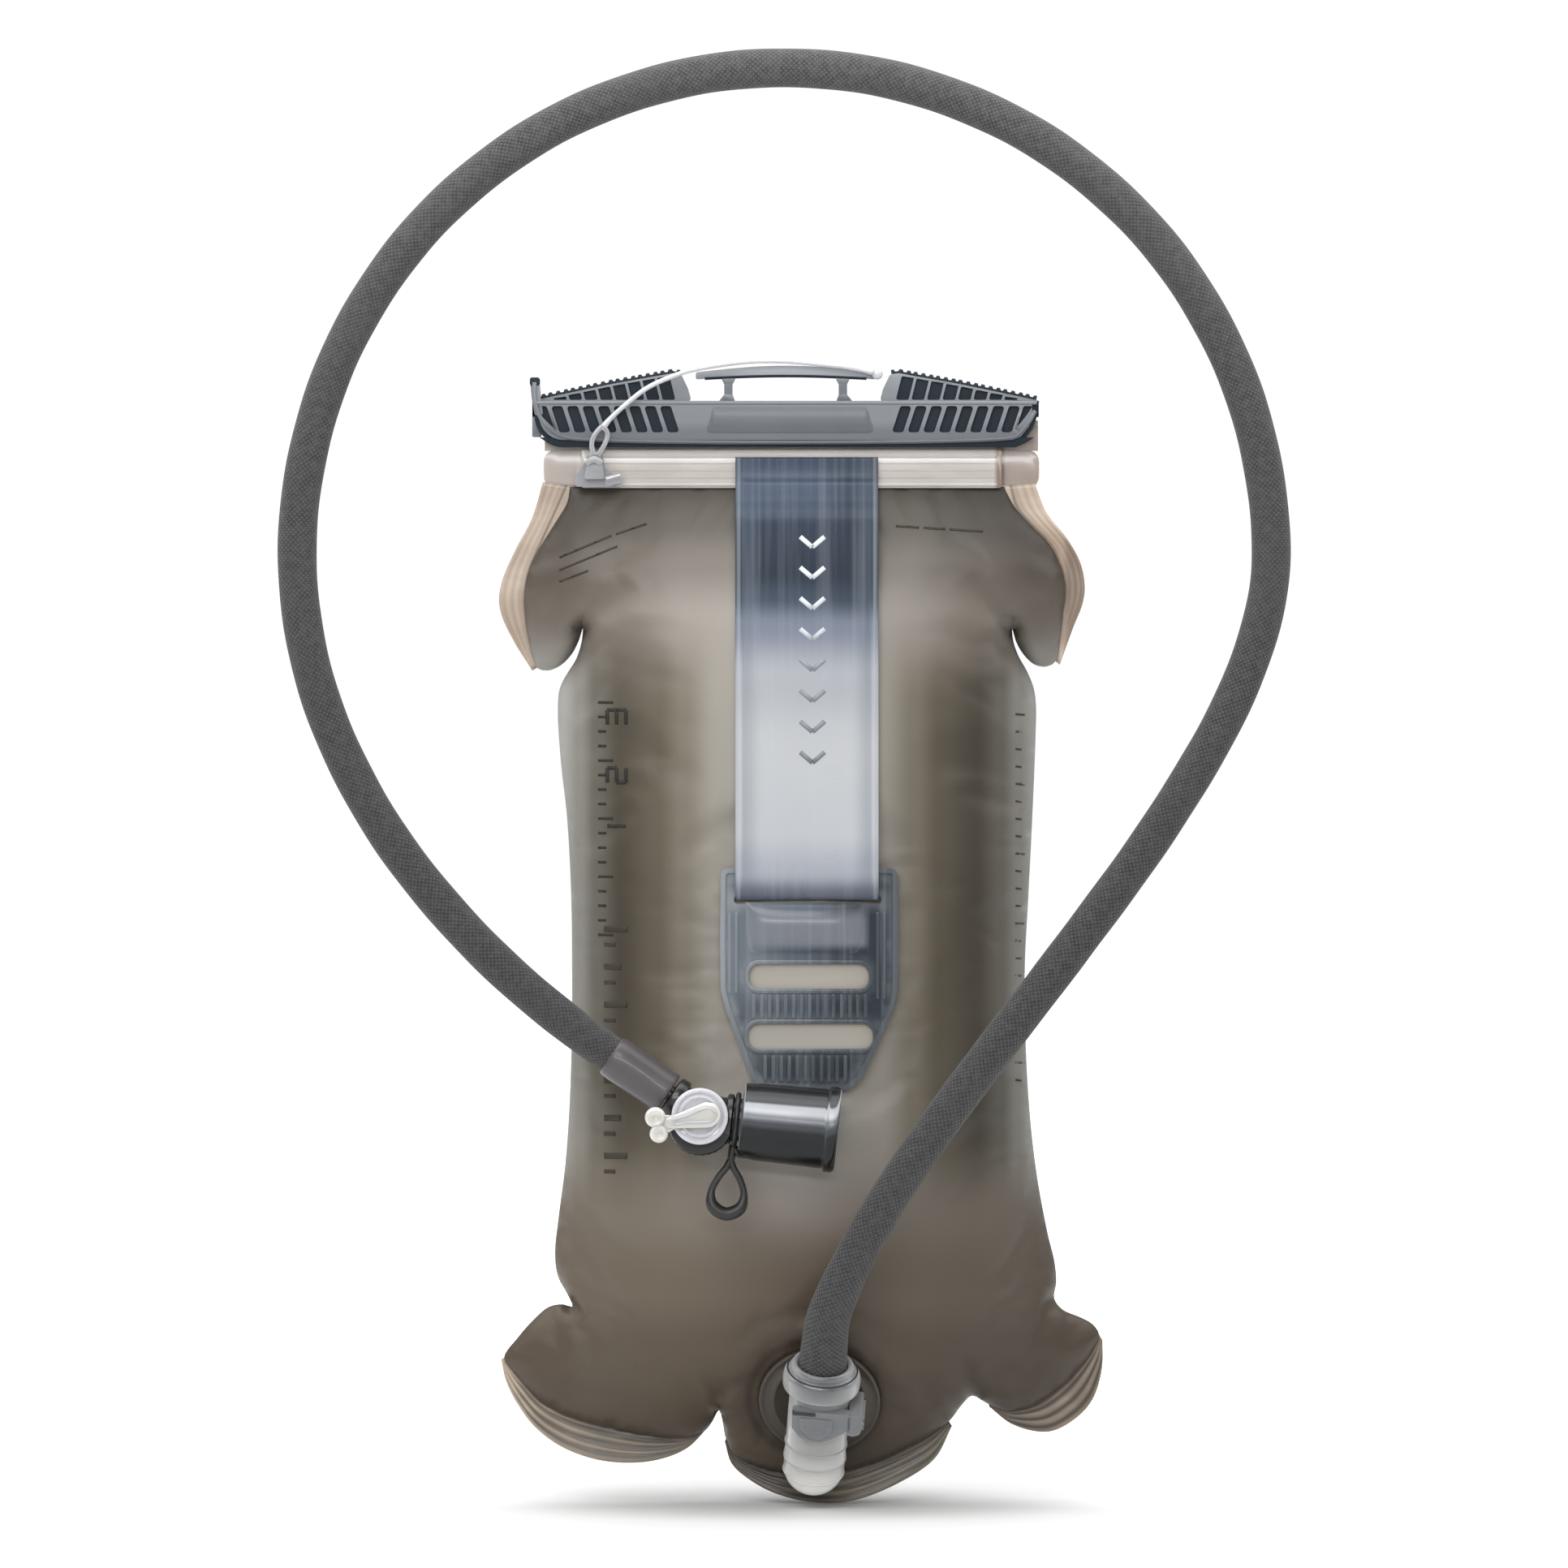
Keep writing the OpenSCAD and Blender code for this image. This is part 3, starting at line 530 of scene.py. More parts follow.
# ---------------------------------------------------------------- the bag
LEFT_EDGE = [(-74.6, -33.2), (-75.4, -38.9), (-79.5, -45.9), (-84.3, -53.6), (-88.3, -61), (-90.2, -70.6),
    (-89.6, -81.2), (-87.7, -91), (-85.6, -96.2), (-82.0, -97.0), (-77.6, -95.2), (-73.7, -91.2),
    (-71.1, -86), (-70.0, -82.3), (-70.4, -87), (-72.3, -93), (-75.4, -98), (-77.9, -103), (-78.6, -110),
    (-77.6, -128), (-75.4, -148), (-74.0, -175), (-73.7, -202), (-74.2, -238), (-75.9, -266),
    (-78.4, -286), (-79.6, -298), (-78.6, -306), (-75.4, -312), (-73.6, -316.4), (-76.6, -315.6),
    (-81.6, -316.4), (-87.1, -321), (-92.4, -327), (-97.2, -334)]
BOTTOM_EDGE = [(-94.5, -338.5), (-89.6, -344), (-83.3, -350), (-73.6, -354.5), (-60.2, -358),
    (-44.2, -361), (-33.5, -361.5), (-28.0, -359.4), (-25.2, -356), (-23.0, -352.2), (-21.8, -356),
    (-20.9, -361), (-18.0, -367.2), (-10, -371.2), (-1, -373.4), (10, -374.0), (20.8, -372.9),
    (35.6, -368), (49, -361.5), (56.4, -356), (61, -350.2), (64.3, -347.2), (69.0, -349.6), (76.0, -352.4),
    (85.5, -350.6), (93.5, -345.5), (101.6, -337.5), (107, -330)]
RIGHT_EDGE = [(108.2, -326), (106, -322.5), (101.6, -320), (95.6, -317.4), (92.7, -313.6), (93.4, -308),
    (92.8, -301), (90.4, -291), (86.4, -269), (83.6, -241), (82.5, -202), (83.8, -174), (85.2, -146),
    (86.3, -118), (86.4, -109), (85.6, -103), (83.2, -97), (80.4, -92), (78.6, -87), (78.2, -82.6),
    (79.5, -87), (82.2, -91.6), (86.0, -95), (90.2, -95.6), (93.4, -93.6), (94.8, -86), (95.8, -77),
    (96.4, -67.9), (94.8, -60.5), (91, -53.2), (84.6, -46.6), (79.2, -40.6), (76.6, -36), (75.6, -33.2)]
EDGE_STEP, COMB_STEP = 1.6, 2.7  # spacing of the films' points at the edge and inside
FILM_T, RIM_GAP = 0.45, 0.02
CLOTH_FRAMES, CLOTH_REACH = 18, 2.4  # and how far the cloth pass may move a point
CELL = 1.25  # cell of the height grid
SWEEPS, OVERSHOOT = 900, 1.96  # passes over the height grid, and how far each overshoots


def film_outline():
    side = spline(LEFT_EDGE + BOTTOM_EDGE + RIGHT_EDGE, EDGE_STEP)
    top = [(x, BAG_LOW_TOP) for x in np.arange(75.0 - EDGE_STEP, -71.5, -EDGE_STEP)]
    return np.vstack([side, top])


def inflate(outline):
    """Height of a film blown up over its outline, from 0 at the edge to 1, on a grid."""
    lo, hi = outline.min(0) - 3, outline.max(0) + 3
    xs, zs = np.arange(lo[0], hi[0], CELL), np.arange(lo[1], hi[1], CELL)
    gx, gz = np.meshgrid(xs, zs)
    inside = within(np.stack([gx.ravel(), gz.ravel()], 1), outline).reshape(gx.shape)
    u = np.zeros(gx.shape)
    odd = (np.add.outer(np.arange(len(zs)), np.arange(len(xs))) % 2).astype(bool)
    for _ in range(SWEEPS):
        for colour in (inside & odd, inside & ~odd):
            around = np.zeros_like(u)
            around[1:-1, 1:-1] = u[2:, 1:-1] + u[:-2, 1:-1] + u[1:-1, 2:] + u[1:-1, :-2] + CELL * CELL
            u = np.where(colour, u + OVERSHOOT * (around / 4 - u), u)
    u = np.maximum(u, 0)
    return xs, zs, np.sqrt(u / u.max())


def sample(grid, x, z):
    """The grid's value between its points."""
    xs, zs, v = grid
    i = np.clip((np.asarray(x) - xs[0]) / CELL, 0, len(xs) - 1.001)
    j = np.clip((np.asarray(z) - zs[0]) / CELL, 0, len(zs) - 1.001)
    a, b = i.astype(int), j.astype(int)
    s, t = i - a, j - b
    return (v[b, a] * (1 - s) + v[b, a + 1] * s) * (1 - t) + (v[b + 1, a] * (1 - s) + v[b + 1, a + 1] * s) * t


def seg_distance(p, a, b):
    """Distance of points from a straight fold, and how far along it they lie."""
    p, a, b = np.asarray(p, float), np.asarray(a, float), np.asarray(b, float)
    t = np.clip(((p - a) @ (b - a)) / ((b - a) @ (b - a)), 0, 1)
    return np.linalg.norm(p - a - t[:, None] * (b - a), axis=1), t


# Soft folds pressed into the film: start, end, depth at the start, width
CREASES = [((-70.3, -82.3), (-52, -66), 3.0, 4.5), ((-70.3, -82.3), (-57, -100), 2.2, 5.0),
    ((-71, -84), (-66, -128), 1.6, 6.0), ((78.3, -82.6), (60, -66), 3.0, 4.5),
    ((78.3, -82.6), (66, -100), 2.2, 5.0), ((80, -86), (75, -128), 1.6, 6.0),
    ((-88, -60), (-66, -52), 1.2, 4.0), ((94, -60), (72, -50), 1.2, 4.0),
    ((-74, -316), (-56, -308), 2.6, 4.5), ((-74, -316), (-62, -330), 1.8, 4.5),
    ((93, -314), (76, -306), 2.2, 5.0), ((93, -314), (80, -328), 1.8, 4.5),
    ((-22.9, -347.4), (-27, -330), 2.6, 4.0), ((-22.9, -347.4), (-12, -334), 1.6, 4.0),
    ((64.3, -347.2), (60, -330), 2.6, 4.0), ((64.3, -347.2), (75, -334), 1.6, 4.0),
    ((-60, -357), (-50, -342), 1.0, 4.5), ((-80, -350), (-68, -338), 1.0, 4.0),
    ((92, -345), (84, -333), 1.0, 4.0), ((-45, -36), (-50, -62), 1.0, 5.0),
    ((52, -36), (58, -62), 1.0, 5.0), ((-30, -34), (-31, -52), 0.9, 4.0), ((40, -34), (41, -52), 0.9, 4.0)]


def film_height(grid, x, z, front=True):
    """How far a film stands from the bag's middle plane, with its ripples and folds."""
    x, z = np.asarray(x, float), np.asarray(z, float)
    base = sample(grid, x, z)
    from_top = np.maximum(-32.4 - z, 0)
    h = BAG_HALF_D * base * np.clip(1 - np.exp(-from_top / 28.0), 0, 1) ** 0.62
    h *= 1 + 0.035 * ramp(-190, -290, z) * np.sin(np.pi * ramp(-190, -360, z))
    side = 1 if front else -1
    ripple = np.sin(x * 0.061 + z * 0.023 + side) * np.sin(z * 0.047 - x * 0.019 + 2 * side)
    h += 0.55 * ripple * base * ramp(0.05, 0.5, base)
    p = np.stack([x, z], 1)
    for a, b, depth, width in CREASES:
        d, t = seg_distance(p, a, b)
        k = depth * (1 - t) ** 1.3 * (1.0 if front else 0.8)
        w = width * (0.5 + 0.8 * t)
        h -= np.minimum(h * 0.6, k * np.exp(-((d / w) ** 2)))
        h += 0.35 * np.minimum(h * 0.6, k * np.exp(-(((d - 1.7 * w) / w) ** 2)))
    return np.maximum(h, 0.0)


def port_plane(x, z):
    """How far in front of the middle the film lies where it is welded to the port's flange."""
    n = PORT_R @ np.array([0.0, 1.0, 0.0])
    return -(PORT_AT[1] + (12.5 - n[0] * (x - PORT_AT[0]) - n[2] * (z - PORT_AT[2])) / n[1])


def port_uv(x, z):
    """Position on the flange's face, measured from its middle, across and along the port."""
    rel = np.stack([x, -port_plane(x, z), z], 1) - (PORT_AT + PORT_R @ np.array([0, 12.5, -15.0]))
    local = rel @ PORT_R
    return local[:, 0], local[:, 2]


def front_height(grid, x, z):
    """The front film's height, flattened where the port's flange is welded on."""
    h = film_height(grid, x, z)
    u, v = port_uv(np.asarray(x, float), np.asarray(z, float))
    r = np.hypot(u, v)
    near = 1 - ramp(20.0, 36.0, r)
    flat = np.maximum(port_plane(x, z), 0.3)
    h = h * (1 - near) + flat * near
    # embossed rings round the flange
    return h + 0.9 * np.exp(-(((r - 23.4) / 1.1) ** 2)) + 0.5 * np.exp(-(((r - 27.2) / 1.0) ** 2))


def film_points(outline):
    """Inner points of the film: rings close to its edge, then a honeycomb."""
    rings = []
    ahead, behind = np.roll(outline, -1, 0), np.roll(outline, 1, 0)
    tangent = unit(ahead - behind)
    normal = np.stack([-tangent[:, 1], tangent[:, 0]], 1)
    if not within((outline + normal * 0.5)[5:6], outline)[0]:
        normal = -normal
    for d in (0.45, 1.3):
        ring = outline + normal * d
        rings.append(ring[within(ring, outline) & (clearance(ring, outline) > 0.93 * d)])
    rows = np.arange(outline[:, 1].min(), outline[:, 1].max(), COMB_STEP * 0.866)
    left, right = outline[:, 0].min(), outline[:, 0].max()
    comb = [(x, z) for i, z in enumerate(rows) for x in np.arange(left + (i % 2) * COMB_STEP / 2, right,
            COMB_STEP)]
    comb = np.array(comb)
    comb = comb[within(comb, outline)]
    return np.vstack([*rings, comb[clearance(comb, outline) > 2.3]])


def cloth_pass(obj, pinned, cap):
    """A short blow-up under pressure: the film settles into small wrinkles by its pins and seams."""
    mesh = obj.data
    rest = read(mesh.vertices)
    group = obj.vertex_groups.new(name="pinned")
    for weight in (1.0, 0.6, 0.25):
        ids = np.flatnonzero(np.isclose(pinned, weight)).tolist()
        if ids:
            group.add(ids, weight, "REPLACE")
    mod = obj.modifiers.new("cloth", "CLOTH")
    c = mod.settings
    c.quality = 5
    c.mass = 0.25
    c.tension_stiffness = c.compression_stiffness = 22
    c.shear_stiffness = 12
    c.bending_stiffness = 1.2
    c.air_damping = 2.0
    c.shrink_min = -0.022
    c.use_pressure = True
    c.uniform_pressure_force = 4.0
    c.vertex_group_mass = "pinned"
    c.pin_stiffness = 6
    c.effector_weights.gravity = 0
    mod.collision_settings.use_collision = False
    mod.collision_settings.use_self_collision = False
    mod.point_cache.frame_start, mod.point_cache.frame_end = 1, CLOTH_FRAMES
    scene = bpy.context.scene
    for f in range(1, CLOTH_FRAMES + 1):
        scene.frame_set(f)
        bpy.context.view_layer.update()
    deps = bpy.context.evaluated_depsgraph_get()
    now = read(obj.evaluated_get(deps).data.vertices)
    obj.modifiers.clear()
    obj.vertex_groups.clear()
    scene.frame_set(1)
    move = (now - rest).reshape(-1, 3)
    size = np.linalg.norm(move, axis=1)
    limit = cap * MM
    move *= (limit * np.tanh(size / limit) / np.maximum(size, 1e-9))[:, None]
    mesh.vertices.foreach_set("co", rest + move.ravel())
    mesh.update()


def thicken(obj, t, rim):
    """Gives an open film a second skin t mm further in, joined to the first round its rim."""
    mesh = obj.data
    n = len(mesh.vertices)
    co, normal = read(mesh.vertices).reshape(-1, 3) / MM, read(mesh.vertices, "normal").reshape(-1, 3)
    inner = co - normal * t
    side = 1 if co[:, 1].mean() > 0 else -1
    inner[:, 1] = side * np.maximum(side * inner[:, 1], 2 * RIM_GAP)
    # at the rim the skin turns straight in, so the two films meet
    edge = sorted({i for pair in rim for i in pair})
    inner[edge] = np.stack([co[edge, 0], np.full(len(edge), side * RIM_GAP), co[edge, 2]], 1)
    faces = [tuple(p.vertices) for p in mesh.polygons]
    faces += [tuple(n + i for i in reversed(f)) for f in faces]
    for a, b in rim:
        faces.append((b, a, a + n, b + n))
    name, mat = obj.name, mesh.materials[0]
    bpy.data.objects.remove(obj)
    return make(name, np.vstack([co, inner]), faces, mat)


def build_bag(mat_front, mat_back):
    """The two films: blown up over one outline, settled by the cloth simulation, and thickened."""
    outline = film_outline()
    grid = inflate(outline)
    tris, pts = fill(outline, inner=film_points(outline))
    rim = boundary(tris)
    edge = np.zeros(len(pts), bool)
    edge[[i for e in rim for i in e]] = True
    x, z = pts[:, 0], pts[:, 1]
    films = []
    u, v = port_uv(x, z)
    welded = np.hypot(u, v) < 24
    gap = np.min(np.hypot(x[:, None] - x[edge][None], z[:, None] - z[edge][None]), axis=1)
    for name, side, mat in (("bag_front", -1, mat_front), ("bag_back", 1, mat_back)):
        h = front_height(grid, x, z) if side < 0 else film_height(grid, x, z, front=False)
        h[edge] = 0
        verts = np.stack([x, side * (FILM_T + 0.06 + h), z], 1)
        faces = tris if side < 0 else [tuple(reversed(t)) for t in tris]
        obj = make(name, verts, faces, mat, closed=False)
        pinned = np.where(gap < 0.1, 1.0, np.where(gap < 2.2, 0.6, 0.0))
        pinned[z > -38] = 1.0
        if side < 0:
            pinned[welded] = 1.0
            plate = (np.abs(x - 8) < 31) & (z < -150) & (z > -244)
            pinned[plate & (pinned == 0)] = 0.25
        cloth_pass(obj, pinned, CLOTH_REACH)
        films.append(thicken(obj, FILM_T, rim))
    return films


# ---------------------------------------------------------------- welded margins
FLANGE_LEFT_TOP = ([(-75.5, -33), (-79.5, -42.0), (-84.3, -52.6), (-88.0, -61), (-90.0, -70.6),
        (-89.4, -81.2), (-87.5, -91), (-85.8, -96.0)],
    [(-83.7, -31.9), (-87.5, -44.4), (-93.4, -55.6), (-98.0, -66.5), (-98.9, -72.5), (-98.0, -78),
        (-93.6, -87.2), (-87.4, -97.0)])
FLANGE_RIGHT_TOP = ([(77.5, -33), (79.8, -40.6), (84.8, -46.4), (91.4, -53.2), (95.0, -60.5),
        (96.4, -68.2), (95.6, -78), (93.2, -93.8)], [(86.0, -32.5), (89.9, -42.3), (96.9, -51.2),
        (101.6, -59.6), (103.2, -67.9), (102.4, -74.0), (99.2, -82.2), (94.6, -95.0)])
FLANGE_LEFT_FOOT = ([(-97.2, -334), (-94.5, -338.5), (-89.6, -344), (-83.3, -350), (-73.6, -354.5),
        (-60.2, -358), (-44.2, -361), (-33.5, -361.5), (-27.4, -357.6)],
    [(-98.2, -334.5), (-96.6, -342), (-92.6, -350), (-86.0, -358.4), (-76.0, -365.4), (-62.0, -369.7),
        (-46.0, -369.6), (-34.2, -365.4), (-27.0, -358.4)])
FLANGE_MID_FOOT = ([(-20.6, -362), (-18.0, -367.2), (-10, -371.2), (-1, -373.4), (10, -374.0),
        (20.8, -372.9), (35.6, -368), (49, -361.5), (56.4, -356)],
    [(-21.0, -363), (-18.6, -370.6), (-12.0, -376.4), (-3.0, -381.0), (9, -383.8), (22.8, -383.4),
        (39.8, -376.8), (51.6, -368.6), (57.4, -357.6)])
FLANGE_RIGHT_FOOT = ([(70.0, -350.0), (76.0, -352.4), (85.5, -350.6), (93.5, -345.5), (101.6, -337.5),
        (107, -330), (108.2, -326)], [(70.2, -351.0), (78.5, -357.2), (90.9, -359.6), (100.2, -355.0),
        (106.0, -348.4), (109.2, -338), (109.4, -328)])


def even(points, n):
    """n even points along a smooth curve through the given ones."""
    p = spline(points, 0.6)
    return resampled(p, np.linspace(0, run_lengths(p)[-1], n))


def margin(name, curves, mat, ribs, lean, tuck=0.42, rows=26, thick=1.3):
    """A welded margin between the film's edge and the bag's outline, with raised ribs along it."""
    inner, outer = curves
    n = int(run_lengths(spline(outer, 1.0))[-1] / 1.5)
    a, b = even(inner, n), even(outer, n)
    t = np.linspace(-tuck, 1, rows)
    s = np.linspace(0, 1, n)
    grid = a[:, None, :] * (1 - t[None, :, None]) + b[:, None, :] * t[None, :, None]
    width = np.linalg.norm(b - a, axis=1)[:, None]
    wide = np.clip(width / 6.0, 0, 1)
    ridge = ribs * np.maximum(0, np.cos(2 * np.pi * (t[None, :] * 3.2 - 0.1))) ** 2 * wide * (t[None,
            :] > 0.05) * (t[None, :] < 0.93)
    edge = np.sqrt(np.clip(1 - np.clip((t[None, :] - 0.9) / 0.1, 0, 1) ** 2, 0, 1)) * 0.75 + 0.25
    half = thick / 2 * edge
    sway = lean * np.sin(np.pi * np.clip(s, 0, 1))[:, None] * np.clip(t, 0, 1)[None, :] ** 1.4 * wide
    sway = sway + 0.35 * np.sin(s * 17.0)[:, None] * np.clip(t, 0, 1)[None, :]
    skins = [np.stack([grid[:, :, 0], side * (half + ridge) + sway, grid[:, :, 1]], 2) for side in (-1, 1)]
    piece = sheet(name, *skins, mat)
    # painted shade and highlight: a mask for the hollows between the ribs and the line along the weld, which
    # the material darkens while the ribs turn a little lighter
    groove_shade = np.sin(2 * np.pi * (t[None, :] * 1.6 - 0.05)) ** 2 * wide * (t[None, :] > 0.0) * (t[None,
            :] < 0.96) * min(1.0, ribs / 0.4)
    groove_shade = np.maximum(groove_shade, wide * np.exp(-(((t[None, :] - 0.02) / 0.06) ** 2)))
    shade = piece.data.attributes.new("groove_shade", "FLOAT", "POINT")
    shade.data.foreach_set("value", np.tile(groove_shade.reshape(-1), 2).astype(np.float32))
    return piece


# ---------------------------------------------------------------- hose
def bezier(p, t):
    t = np.asarray(t, float)[:, None]
    return (1 - t) ** 3 * p[0] + 3 * t * (1 - t) ** 2 * p[1] + 3 * t * t * (1 - t) * p[2] + t**3 * p[3]


def hose_path():
    """The hose's centre line from the plug, over the arch, to the valve: (points, run lengths)."""
    axis = PORT_R @ np.array([0, 0, 1.0])
    arrive = HOSE_R @ np.array([1.0, 0, 0])
    r = np.array([ARCH_R, 0, 0])
    right = [PORT_AT + axis * LEAD_L, PORT_AT + axis * (LEAD_L + 90) + [18, 0, 0],
        ARCH_AT + r + [0, 0, -80], ARCH_AT + r]
    left = [ARCH_AT - r, ARCH_AT - r + [0, 0, -75], VALVE_AT - arrive * (HOSE_STOP + CUFF_L + 62),
        VALVE_AT - arrive * (HOSE_STOP + CUFF_L)]
    a = np.linspace(0, np.pi, 260)
    arch = ARCH_AT + ARCH_R * np.stack([np.cos(a), np.zeros_like(a), np.sin(a)], 1)
    path = np.vstack([
        PORT_AT + axis * np.linspace(0.8, LEAD_L, 14)[:-1, None],
        bezier(right, np.linspace(0, 1, 160))[:-1], arch, bezier(left, np.linspace(0, 1, 110))[1:],
        VALVE_AT - arrive * np.linspace(HOSE_STOP + CUFF_L, HOSE_STOP + 0.2, 14)[1:, None],
    ])
    s = np.arange(0, run_lengths(path)[-1], 1.2)
    path = resampled(path, s)
    soft = np.stack([soften(column, 15) for column in path.T], 1)
    soft[:8], soft[-8:] = path[:8], path[-8:]
    return soft, s


def hose_pieces(cut, path, s, mat, radius, sides=40):
    """The sleeve in two lengths that meet at ring `cut`, with UVs that run round and along it."""
    n = len(path)
    tangent = unit(np.gradient(path, axis=0))
    u = np.zeros_like(path)
    u[0] = np.cross(tangent[0], [0, 1, 0])
    u[0] /= np.linalg.norm(u[0])
    for i in range(1, n):
        u[i] = u[i - 1] - (u[i - 1] @ tangent[i]) * tangent[i]
        u[i] /= np.linalg.norm(u[i])
    v = np.cross(tangent, u)
    a = np.linspace(0, 2 * np.pi, sides, endpoint=False)
    # a woven sleeve is never quite even
    r = radius[:, None] + 0.05 * np.sin(a * 3 + s[:, None] * 0.11) + 0.05 * np.sin(s[:, None] * 0.23 + a * 2)
    rings = path[:, None] + r[..., None] * (np.cos(a)[None, :, None] * u[:, None] + np.sin(a)[None, :,
            None] * v[:, None])
    out = []
    for name, i0, i1 in (("hose_to_port", 0, cut), ("hose_to_valve", cut, n - 1)):
        faces = ring_faces(i1 - i0 + 1, sides)
        uvs = []
        for low, high in zip(s[i0:i1], s[i0 + 1 : i1 + 1]):
            for j in range(sides):
                uvs.append([(j / sides, low), ((j + 1) / sides, low), ((j + 1) / sides, high),
                        (j / sides, high)])
        uvs += [[(0, s[i])] * sides for i in (i0, i1)]
        obj = make(name, rings[i0 : i1 + 1].reshape(-1, 3), faces, mat, closed=False)
        layer = obj.data.uv_layers.new(name="along")
        layer.data.foreach_set("uv", [c for f in uvs for p in f for c in p])
        out.append(sharp(obj, 60))
    return out, tangent


def sleeve_material():
    m = Mat("hose_sleeve", IOR=1.35, Sheen_Weight=0.15, Sheen_Roughness=0.5)
    tex = m.add("ShaderNodeTexCoord")
    sep = m.add("ShaderNodeSeparateXYZ")
    m.join(tex.outputs["UV"], sep.inputs[0])
    turn, along = sep.outputs[0], sep.outputs[1]
    around = m.math("MULTIPLY", turn, 2 * math.pi * 24)
    run = m.math("MULTIPLY", along, 2 * math.pi * 24 / 42.0)
    one = m.math("SINE", m.math("ADD", around, run))
    two = m.math("SINE", m.math("SUBTRACT", around, run))
    pick = m.math("SINE", run)
    weave = m.math("MULTIPLY", m.math("ADD", one, 1.0), m.math("ADD", two, 1.0))
    weave = m.math("ADD", m.math("MULTIPLY", weave, 0.25), m.math("MULTIPLY", pick, 0.05))
    base = m.ramp(weave, [(0.0, rgb(44, 44, 46)), (0.5, rgb(67, 67, 68)), (1.0, rgb(84, 84, 85))])
    fibre = m.noise(420.0, 4.0, 0.6)
    base = m.mix(m.ramp(fibre, [(0.35, 0.0), (0.7, 0.3)]), base, rgb(98, 97, 96))
    m.color(m.mix(m.ramp(m.noise(14.0, 2.0), [(0.3, 0.0), (0.7, 0.3)]), base, rgb(68, 68, 70)))
    m.rough(0.72, 0.92, fibre)
    m.bump(weave, 0.35, 0.8)
    m.bump(fibre, 0.12, 0.5)
    return m.mat


# ---------------------------------------------------------------- what lies on the film
def surface(obj):
    """A search tree over a piece, to lay other pieces on it."""
    co = [v.co.copy() for v in obj.data.vertices]
    return BVHTree.FromPolygons(co, [tuple(p.vertices) for p in obj.data.polygons])


def film_y(tree, x, z, miss=-3.6):
    """Where the first surface is, in mm, seen from the front."""
    hit = tree.ray_cast(Vector((x * MM, -200 * MM, z * MM)), Vector((0, 1, 0)))
    return hit[0].y / MM if hit[0] else miss


def hull(points):
    """Upper hull of (run, height) points: a band pulled taut over them."""
    out = []
    for p in points:
        while len(out) > 1:
            (x0, y0), (x1, y1) = out[-2], out[-1]
            if (x1 - x0) * (p[1] - y0) - (y1 - y0) * (p[0] - x0) >= 0:
                out.pop()
            else:
                break
        out.append(p)
    return np.array(out)


def sheet(name, top, bottom, mat):
    """A closed sheet between two grids of points of the same shape (rows, columns, 3)."""
    rows, cols = top.shape[:2]
    n = rows * cols
    verts = np.vstack([top.reshape(-1, 3), bottom.reshape(-1, 3)])
    faces = []
    for i in range(rows - 1):
        for j in range(cols - 1):
            q = (i * cols + j, i * cols + j + 1, (i + 1) * cols + j + 1, (i + 1) * cols + j)
            faces += [q, tuple(n + v for v in reversed(q))]
        for j in (0, cols - 1):
            a, b = i * cols + j, (i + 1) * cols + j
            faces.append((a, b, n + b, n + a) if j == 0 else (b, a, n + a, n + b))
    for i in (0, rows - 1):
        for j in range(cols - 1):
            a, b = i * cols + j, i * cols + j + 1
            faces.append((b, a, n + a, n + b) if i == 0 else (a, b, n + b, n + a))
    return make(name, verts, faces, mat)


def strap_profile(tree):
    """Height in front of the middle plane along the strap, from its weld down to the plate."""
    zs = np.arange(-52.0, -168.0, -2.0)
    cols = np.linspace(-1, 1, 13)
    over = [(-z, max(-film_y(tree, STRAP_X + STRAP_HALF * u, z) + 0.9 * abs(u) ** 2.2 for u in cols)
            + 1.35) for z in zs]
    start = [(23.5, 4.4), (33.0, 4.7), (37.5, 7.6), (44.0, 15.0)]
    taut = hull(start[2:] + over + [(168.5, 44.9)])
    run = np.r_[23.5, 33.0, taut[:, 0]]
    high = np.r_[4.4, 4.7, taut[:, 1]]
    s = np.arange(23.5, 168.6, 1.0)
    h = np.interp(s, run, high)
    soft = soften(h, 9)
    soft[s < 33] = h[s < 33]
    return s, soft


def build_strap(tree, mat):
    """The strap, pulled taut over the front film, with its end in the plate."""
    s, h = strap_profile(tree)
    # the end turns down into the plate's first slot
    turn = np.array([[171.0, 45.1], [173.0, 45.0], [174.6, 44.3], [175.7, 42.9], [176.0, 41.6]])
    s, h = np.r_[s, turn[:, 0]], np.r_[h, turn[:, 1]]
    u = np.linspace(-1, 1, 61)
    x = STRAP_X + STRAP_HALF * u
    side = np.abs(u)
    crown = -0.9 * side**2.2  # the band lies over a round bag
    rim = 0.28 * np.exp(-(((side - 0.955) / 0.03) ** 2))
    y = np.zeros((len(s), len(u)))
    for i, z in enumerate(s):
        bend = ramp(40, 90, z) * (1 - ramp(150, 172, z))
        ridge = 0.14 * np.cos(u * 46) * (z > 33.5) * (z < 44) * (side < 0.86)
        bar = 0.5 * (math.exp(-(((z - 30.6) / 0.7) ** 2)) + math.exp(-(((z - 45.0) / 0.8) ** 2))) * (side
            < 0.9)
        y[i] = -(h[i] + crown * bend + rim + ridge + bar)
    edge = np.sqrt(np.clip(1 - np.clip((side - 0.975) / 0.025, 0, 1) ** 2, 0.05, 1))
    top = np.stack([np.broadcast_to(x, y.shape), y, np.broadcast_to(-s[:, None], y.shape)], 2)
    dz, dy = np.gradient(-s), np.gradient(-h)
    size = np.hypot(dz, dy)
    normal = np.stack([np.zeros_like(s), dz / size, -dy / size], 1)
    thick = 1.15 * edge
    bottom = top - normal[:, None, :] * thick[None, :, None]
    top = top - normal[:, None, :] * (0.575 * (1 - edge))[None, :, None]
    return sheet("strap", top, bottom, mat)


